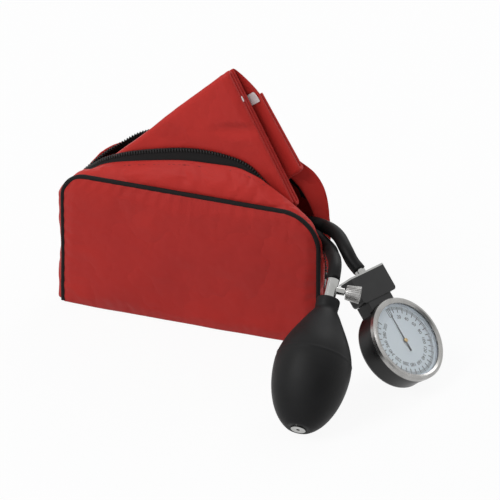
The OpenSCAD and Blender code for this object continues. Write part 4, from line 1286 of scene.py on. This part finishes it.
        # towards the right end the cloth goes on over the tape, almost to the teeth
        first, last, most, lift = side.cover
        cover = np.clip((rim[:, 0] - first) / (last - first), 0, 1) * most
        reach = np.maximum(0.8, cover * np.linalg.norm(bead - rim, axis=1))[:, None]
        lip = rim + unit(bead - rim) * reach + facing * lift * np.minimum(cover * 4, 1)[:, None]
        flap = self.band(f"case_{side.tag}_flap_cloth", base, rim, 1.6, 23, side.out > 0, groove=0.5, lip=lip)
        # the flap gets the lighter red: painted light
        place(flap, Body.CASE, "red_nylon", RED_WITH_PAINTED_LIGHT, f"case_{side.tag}_flap")
        size = np.linalg.norm(rim - base, axis=1) + np.linalg.norm(lip - rim, axis=1) + 1.6
        deep = side.tuck[0] + side.tuck[1] * np.clip((rim[:, 0] - 35) / 25, 0, 1)
        inner = rim - facing * 1.5 - rise * np.minimum(deep, 0.8 * size)[:, None]
        outer = bead + unit(bead - inner) * 0.9
        strip = grid(f"zip_{side.tag}_tape_cloth", between(inner, outer, 5), flip=side.out < 0)
        thicken(strip, self.tape)
        place(strip, Body.CASE, "zip_tape", BLACK_CLOTH, f"zip_{side.tag}_tape")
        coil = self.coil(f"zip_{side.tag}_coil", bead, bead - inner)
        place(coil, Body.CASE, "zip_teeth", TEETH, f"zip_{side.tag}_teeth")
        seam = rim - rise * self.stitch_in + facing * 0.35
        thread = self.stitches(f"case_{side.tag}_zip_stitches", seam, facing)
        place(thread, Body.CASE, "red_nylon", THREAD)

    def build(self) -> None:
        """Makes the whole case."""
        both = (FRONT, REAR)
        for side in both:
            self.panel(side)
        left_top = FRONT.nearest(np.array(FRONT_EDGE[0], float))[2]
        for tag, way, top, puff, lean in (("left", -1, left_top, 7.0, 0.4),
                                          ("right", 1, self.right_top, 3.4, 2.6)):
            cloth = self.band(f"case_{tag}_cloth", FRONT.side_line(way, top), REAR.side_line(way, top), puff,
                              25, way > 0, lean=lean, fade=14.0)
            place(cloth, Body.CASE, "red_nylon", RED, f"case_{tag}_gusset")
        feet = [np.array([(x * side.width / 2, side.y, 0.6) for x in np.linspace(-1, 1, 40)])
                for side in both]
        base = grid("case_base_cloth", between(*feet, 12))
        thicken(base, self.base)
        place(base, Body.CASE, "red_nylon", RED, "case_base_panel")
        for side in both:
            self.mouth(side)
        for side in both:
            cord = tube(f"case_{side.tag}_piping_cord", side.outline(1.6), self.piping, 16)
            place(cord, Body.CASE, "black_cord", BLACK_CLOTH, f"case_{side.tag}_piping")


@dataclass
class Cuff:
    """The folded cuff: five layers of soft cloth in a zigzag."""

    width: float = 137.0
    length: float = 0.52
    half_thick: float = 1.5
    layers: tuple[float, ...] = (-4.2, -0.6, 3.0, 9.4, 13.0)
    front_low: tuple = ((-10.0, 12.0), (68.0, 97.0))
    front_top: tuple = ((-77.0, 90.0), (22.8, 185.8))
    rear_low: tuple = ((-17.5, 36.0), (67.0, 118.0))
    rear_top: tuple = ((-76.9, 82.9), (39.0, 167.3))
    roll: tuple[float, float] = (2.4, 6.4)  # of the broad fold, at its left and its right
    rows: int = 34
    fold_rows: int = 10
    columns: int = 81
    hem: float = 8.0
    hem_edge: float = 0.6
    dent: tuple[float, float] = (28.0, 146.5)
    seam: tuple[float, float] = (-12.8, 145.4)
    seam_way: tuple[float, float] = (10.7 / 22.9, -20.2 / 22.9)
    tag_at: tuple[float, float] = (0.795, 0.835)
    patch_over: int = 2
    patch_under: int = 3
    patch_in: float = 1.0
    patch_wide: float = 8.0

    def relief(self, p: np.ndarray, x: float, n: np.ndarray) -> float:
        """Returns how far the cloth's surface stands out at a point.

        Args:
            p: the point.
            x: its place across the cuff.
            n: the surface's outward direction.

        Returns:
            The height, in millimetres.
        """
        edge = self.width / 2 - abs(x)
        soft = min(1.0, edge / 6.0)
        lift = soft * (0.4 * ripple(*p, 26) + 0.15 * ripple(p[0] + p[2], p[1], p[2] - p[0], 9))
        lift += 0.3 / (1 + math.exp((edge - self.hem) * 2.2)) * min(1.0, edge / 1.5)
        lift -= 0.35 * bell((edge - self.hem) / 0.8)
        if n[1] < -0.5 and p[1] < -3:  # the front face: its dent, and its seam at the left
            side, up = p[0] - self.dent[0], p[2] - self.dent[1]
            dent = (side / 15) ** 2 + ((up - 0.12 * side) / 4.6) ** 2
            lift += soft * (0.9 + 1.6 * clamp((p[2] - 128) / 16))
            lift += 0.5 * bell((dent - 2.4) / 1.2) - 2.6 * math.exp(-dent)
            side, up = p[0] - self.seam[0], p[2] - self.seam[1]
            along = side * self.seam_way[0] + up * self.seam_way[1]
            off = up * self.seam_way[0] - side * self.seam_way[1]
            reach = bell(max(0.0, -along) / 8) * bell(max(0.0, along - 24) / 8)
            step = 1 + math.exp(-max(min(-off * 1.2, 30), -30))
            lift -= 0.6 * reach / step * math.exp(min(off, 0) / 22)
        return max(lift, -0.4)

    def station(self, k: int, t: float) -> tuple[np.ndarray, np.ndarray, np.ndarray]:
        """Finds a place on a layer.

        Args:
            k: the layer.
            t: 0 at its lower fold and 1 at its upper one.

        Returns:
            The layer's middle, its width vector and its outward direction.
        """
        low, top = (self.front_low, self.front_top) if k < 3 else (self.rear_low, self.rear_top)
        a, b = (np.array(low[i]) + (np.array(top[i]) - low[i]) * t for i in (0, 1))
        mid, span = (a + b) / 2, (b - a) / self.width
        return (np.array([mid[0], self.layers[k], mid[1]]), np.array([span[0], 0, span[1]]),
                np.array([0, -1.0 if k % 2 == 0 else 1.0, 0]))

    def path(self) -> list[tuple[np.ndarray, np.ndarray, np.ndarray]]:
        """Finds the stations of the whole zigzag.

        Returns:
            The middle, width vector and outward direction of each.
        """
        out = []
        for k in range(len(self.layers)):
            end, sign = 1 - k % 2, 1 - 2 * (k % 2)
            out += [self.station(k, t) for t in np.linspace(1 - end, end, self.rows)]
            if k == len(self.layers) - 1:
                break
            (c0, w0, _), (c1, w1, _) = self.station(k, end), self.station(k + 1, end)
            away = unit(c0 - self.station(k, 1 - end)[0])
            left, right = self.roll if k == 2 else ((self.layers[k + 1] - self.layers[k]) / 2,) * 2
            r, flare = (left + right) / 2, (right - left) / self.width
            for a in math.pi * np.arange(1, self.fold_rows) / self.fold_rows:
                s, out_by = (1 - math.cos(a)) / 2, away * math.sin(a)
                n = sign * np.array([out_by[0], -math.cos(a), out_by[2]])
                out.append((c0 + (c1 - c0) * s + out_by * r, w0 + (w1 - w0) * s + out_by * flare, n))
        return out

    def label(self, name: str, rows: list, thickness: float, node: str) -> None:
        """Makes a white cloth label.

        Args:
            name: the piece's name.
            rows: its rows of points.
            thickness: in millimetres.
            node: the CAD node that it replaces.
        """
        obj = grid(name, np.array(rows))
        thicken(obj, thickness)
        place(obj, Body.CUFF, "white_cloth", LABEL, node)

    def tag(self) -> None:
        """Makes the small care tag: a folded loop of woven tape that stands out of the front hem."""
        rows = []
        for c, w, n in (self.station(0, t) for t in np.linspace(*self.tag_at, 7)):
            rows.append([c + w * (self.width / 2 - 1.0 + 2.0 * math.sin(a)) + n * 0.42 * math.cos(a)
                         for a in np.linspace(0, math.pi, 9)])
        self.label("care_tag_cloth", rows, 0.22, "cuff_care_tag")

    def patch(self) -> None:
        """Sews the size patch on the front of the rear layers, at their upper corner."""
        outer = self.width / 2 - self.patch_in
        first = 3 * (self.rows + self.fold_rows - 1)
        rows = [[c + w * x - n * (self.half_thick + 0.75)
                 for x in np.linspace(outer - self.patch_wide, outer, 9)]
                for c, w, n in self.path()[first - self.patch_over : first + self.patch_under]]
        self.label("size_patch_cloth", rows, 0.35, "cuff_size_patch")

    def face(self, c: np.ndarray, w: np.ndarray, n: np.ndarray, across: np.ndarray) -> list:
        """Draws one face of the cuff at a station, with the hem that it reaches last.

        Args:
            c: the station's middle.
            w: its width vector.
            n: the face's outward direction.
            across: places across the cuff.

        Returns:
            The points.
        """
        points = []
        for x in across:
            p = c + w * x
            points.append(p + n * (self.half_thick - 0.15 + self.relief(p, x, n)))
        edge = c + w * math.copysign(self.width / 2, across[-1])
        return points + [edge + n * self.hem_edge, edge - n * self.hem_edge]

    def build(self) -> None:
        """Makes the cuff."""
        across = np.linspace(-1, 1, self.columns) * (self.width / 2 - 0.6)
        points = np.array([self.face(c, w, n, across) + self.face(c, w, -n, across[::-1])
                           for c, w, n in self.path()])
        n = points.shape[1]
        last = (len(points) - 1) * n
        ends = [(start + j, start + j + 1, start + (n - 2 - j) % n, start + (n - 1 - j) % n)
                for start in (0, last) for j in range(self.columns + 1)]
        obj = grid("cuff_cloth", points, closed=True, ends=ends)
        edit(obj, select_all, turn_outward)
        modify(obj, "SUBSURF", levels=1, render_levels=1)
        # the cuff gets the lighter red: painted light
        place(obj, Body.CUFF, "red_nylon", RED_WITH_PAINTED_LIGHT, "cuff_outer_cloth", "cuff_inner_cloth",
              "cuff_hem_binding")
        self.tag()
        self.patch()


@dataclass
class Bulb:
    """The rubber bulb and the knurled knob of its release valve."""

    end: tuple[float, float, float] = (121.0, -142.8, 8.555)
    lean: tuple[float, float, float] = (-53.5, 0.0, 4.5)
    spin: float = 10.0
    length: float = 95.0
    radius: float = 26.0
    belly: float = 43.0
    neck: float = 8.0
    wall: float = 2.6
    stem: float = 4.0
    spigot: float = 4.5
    seam: float = 50.0
    valve_at: float = 102.436
    knob_at: float = 10.2
    knob_long: float = 9.8
    knob_thin: float = 5.0
    knob_wide: float = 5.85
    stem_at: float = 6.9
    stem_wide: float = 1.5
    bore: float = 0.9
    ribs: int = 24

    def matrix(self) -> Matrix:
        """Returns the bulb's place, from its own millimetres to metres."""
        spin = Matrix.Rotation(math.radians(self.spin), 4, "Z")
        return pose(self.end, self.lean) @ spin @ Matrix.Scale(MM, 4)

    def outside(self, s: float) -> float:
        """Finds the bulb's radius.

        Args:
            s: the distance from its end.

        Returns:
            The radius.
        """
        top = self.length - 7
        if s <= self.belly:
            return self.radius * math.sqrt(max(0.0, 1 - ((self.belly - s) / (self.belly + 2.5)) ** 2))
        if s >= top:
            return self.neck
        share = 0.5 + 0.5 * math.cos(math.pi * (s - self.belly) / (top - self.belly))
        return self.neck + (self.radius - self.neck) * share ** 0.6

    def rubber(self) -> None:
        """Turns the bulb with its mould line and the rolled rim of its neck."""
        line = []
        for s in np.linspace(0, self.length - 1.2, 110):
            ridge = 0.3 * bell((s - self.seam) / 0.55)
            waist = -0.55 * bell((s - self.length + 9) / 2.2)
            line.append((self.outside(s) + ridge + waist - 0.05, float(s)))
        hole, stem, top = self.spigot + 0.1, self.stem + 0.1, self.length
        rim = [(self.neck - 0.05, top - 0.9), (self.neck - 0.35, top - 0.3), (self.neck - 1.0, top),
               (hole, top), (hole, top - 12)]
        inner = [(max(self.outside(s) - self.wall, self.stem + 0.3), float(s))
                 for s in np.linspace(top - 14, self.wall, 30)]
        bulb = lathe("bulb_rubber", [(stem, 0.0), *line, *rim, *inner, (stem, self.wall), (stem, 0.0)], 112)
        bulb.data.transform(self.matrix())
        place(bulb, Body.CUFF, "black_rubber", RUBBER, "bulb")

    def knob(self) -> None:
        """Makes the knurled knob: a tapered drum with raised ribs on a short stem."""
        count = self.ribs * 4
        bpy.ops.mesh.primitive_cylinder_add(vertices=count, radius=1.0, depth=1.0, end_fill_type="NGON")
        drum = bpy.context.object
        drum.name = drum.data.name = "release_knob_drum"
        mid = self.knob_long / 2
        for vertex in drum.data.vertices:
            wide = self.knob_wide - 0.7 if vertex.co.z > 0 else self.knob_thin - 0.8
            vertex.co = (vertex.co.x * wide, vertex.co.y * wide, vertex.co.z * self.knob_long)
        choose(drum, lambda f: abs(f.normal.z) > 0.9)
        edit(drum, lambda: bpy.ops.mesh.inset(thickness=0.9, depth=0.0),
             lambda: bpy.ops.mesh.inset(thickness=0.5, depth=-0.35))
        turn, grow = 2 * math.pi / count, {"value": 0.75}
        sides = [f for f in drum.data.polygons if abs(f.normal.z) < 0.5 and abs(f.center.z) < mid * 0.2]
        wanted = {f.index for f in sides
                  if int(round(math.atan2(f.center.y, f.center.x) / turn - 0.5)) % 4 in (0, 1)}
        choose(drum, lambda f: f.index in wanted)
        edit(drum, lambda: bpy.ops.mesh.extrude_region_shrink_fatten(TRANSFORM_OT_shrink_fatten=grow))
        modify(drum, "BEVEL", width=0.14, segments=2, limit_method="ANGLE", angle_limit=math.radians(25))
        drum.data.transform(Matrix.Translation((0, 0, self.knob_at + mid)))
        bore, wide, low, top = self.bore, self.stem_wide, self.stem_at, self.knob_at
        profile = [(bore, low), (wide - 0.2, low), (wide, low + 0.2), (wide, top - 0.5), (wide + 0.5, top),
                   (bore, top), (bore, low)]
        stem = lathe("release_knob_stem", profile, 48)
        knob = join("release_knob_metal", [drum, stem])
        knob.data.transform(self.matrix() @ Matrix.Translation((0, 0, self.valve_at))
                            @ Matrix.Rotation(math.pi / 2, 4, "Y"))
        shade(knob, smooth=False)
        pick(knob)
        bpy.ops.object.shade_smooth_by_angle(angle=math.radians(35))
        place(knob, Body.KNOB, "satin_silver", SATIN, "release_knob")

    def build(self) -> None:
        """Makes the bulb and the knob."""
        self.rubber()
        self.knob()


@dataclass
class Gauge:
    """The gauge's printed dial and the cap of its pointer."""

    centre: tuple[float, float, float] = (164.7, -45.6, 33.939)
    turn: tuple[float, float, float] = (46.8, 5.5, 71.3)
    dial_z: float = -5.15
    zero: float = 90.0
    sweep: float = 324.1
    edge: float = 24.6
    long_tick: tuple[float, float] = (20.4, 0.5)
    short_tick: tuple[float, float] = (22.4, 0.26)
    box_at: float = 21.2
    box_size: tuple[float, float] = (6.2, 3.4)
    numbers_at: float = 17.2
    number_size: float = 3.5
    full_scale: int = 300

    def turned(self, value: float) -> float:
        """Returns the direction of a value on the dial, in radians."""
        return math.radians(self.zero - self.sweep * value / self.full_scale)

    def ticks(self) -> Piece:
        """Prints the dial's ticks: one is modelled and then copied round the scale.

        Returns:
            The ticks as one object.
        """
        bpy.ops.mesh.primitive_plane_add(size=1.0)
        tick = bpy.context.object
        edit(tick, select_all,
             lambda: bpy.ops.mesh.extrude_region_move(TRANSFORM_OT_translate={"value": (0, 0, 0.06)}),
             select_all, turn_outward, lambda: bpy.ops.mesh.bevel(offset=0.02, segments=1))
        places = []
        for value in range(0, self.full_scale + 1, 2):
            inner, wide = self.short_tick if value % 10 else self.long_tick
            spot = Matrix.Translation(((self.edge + inner) / 2, 0, self.dial_z + 0.01))
            places.append(Matrix.Rotation(self.turned(value), 4, "Z") @ spot
                          @ Matrix.Diagonal((self.edge - inner, wide, 1.0, 1.0)))
        return copies("dial_ticks", tick, places)

    def zero_box(self) -> Piece:
        """Prints the small frame around the zero mark.

        Returns:
            The frame.
        """
        bpy.ops.mesh.primitive_plane_add(size=1.0)
        box = bpy.context.object
        box.name = box.data.name = "dial_zero_box"
        spot = Matrix.Translation((self.box_at, 0, self.dial_z + 0.03))
        box.data.transform(Matrix.Rotation(self.turned(0), 4, "Z") @ spot
                           @ Matrix.Diagonal((*self.box_size, 1.0, 1.0)))
        edit(box, select_all, lambda: bpy.ops.mesh.inset(thickness=0.38),
             lambda: bpy.ops.mesh.delete(type="FACE"), select_all,
             lambda: bpy.ops.mesh.extrude_region_move(TRANSFORM_OT_translate={"value": (0, 0, 0.05)}),
             select_all, turn_outward)
        return box

    def cap(self) -> Piece:
        """Turns the brass cap on the pointer's hub.

        Returns:
            The cap, in the gauge's own millimetres.
        """
        z = self.dial_z + 1.2
        return lathe("pointer_cap", [(0, z), (1.45, z), (1.5, z + 0.15), (1.25, z + 0.45), (0.8, z + 0.62),
                                     (0.4, z + 0.55), (0, z + 0.55)], 48)

    def number(self, value: int) -> Piece:
        """Makes one number of the dial as a mesh.

        Args:
            value: the number.

        Returns:
            The number, in the gauge's own millimetres.
        """
        data = bpy.data.curves.new(f"number_{value}", "FONT")
        data.body = str(value)
        data.size = self.number_size
        data.extrude = 0.03
        data.align_x = data.align_y = "CENTER"
        pick(link(f"number_{value}", data))
        bpy.ops.object.convert(target="MESH")
        obj, a, r = bpy.context.object, self.turned(value), self.numbers_at
        obj.data.transform(Matrix.Translation((r * math.cos(a), r * math.sin(a), self.dial_z + 0.04))
                           @ Matrix.Rotation(a - math.pi / 2, 4, "Z"))
        return obj

    def build(self) -> None:
        """Prints the dial and caps the pointer."""
        numbers = join("dial_numbers", [self.number(value) for value in range(20, self.full_scale + 1, 20)])
        pieces = [(print_, Body.CUFF, "pointer_black", INK)
                  for print_ in (self.ticks(), self.zero_box(), numbers)]
        for piece in (*pieces, (self.cap(), Body.POINTER, "brass", BRASS)):
            piece[0].data.transform(pose(self.centre, self.turn) @ Matrix.Scale(MM, 4))
            place(*piece)


@dataclass
class Dresser:
    """Gives the CAD nodes that stay their materials; the movement, which isn't named, is brass."""

    nodes: dict[str, Piece]
    finishes: tuple = (
        (LACQUER, "zip_stops zip_slider zip_pull"),
        (HOOKS, "cuff_hook_patch cuff_loop_patch"),
        (LABEL, "cuff_care_tag cuff_size_patch"),
        (RUBBER, "cuff_bladder bladder_ports bulb end_valve_disc outlet_valve_disc release_seal"),
        (RUBBER, "crystal_gasket"),
        (CHROME, "end_valve_body end_valve_retainer release_valve_body hose_nipple belt_clip clip_screws"),
        (SATIN, "release_knob"), (PLASTIC, "gauge_housing neck_collar neck_block"), (BEZEL, "gauge_bezel"),
        (CRYSTAL, "gauge_crystal"), (RING, "dial_ring"), (DIAL, "gauge_dial"), (INK, "pointer"))

    def build(self) -> None:
        """Assigns a material to every CAD node."""
        known = {name: finish for finish, names in self.finishes for name in names.split()}
        for name, obj in self.nodes.items():
            material = paint(known.get(name, BRASS))
            if not obj.data.materials:
                obj.data.materials.append(material)
            for k in range(len(obj.data.materials)):
                obj.data.materials[k] = material


def main() -> None:
    """Builds the scene piece by piece."""
    logging.basicConfig(level=logging.INFO, format="%(message)s")
    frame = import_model()
    Studio().build()
    Hoses().build()
    Case().build()
    Cuff().build()
    Bulb().build()
    Gauge().build()
    Dresser(frame["nodes"]).build()


if __name__ == "__main__":
    main()
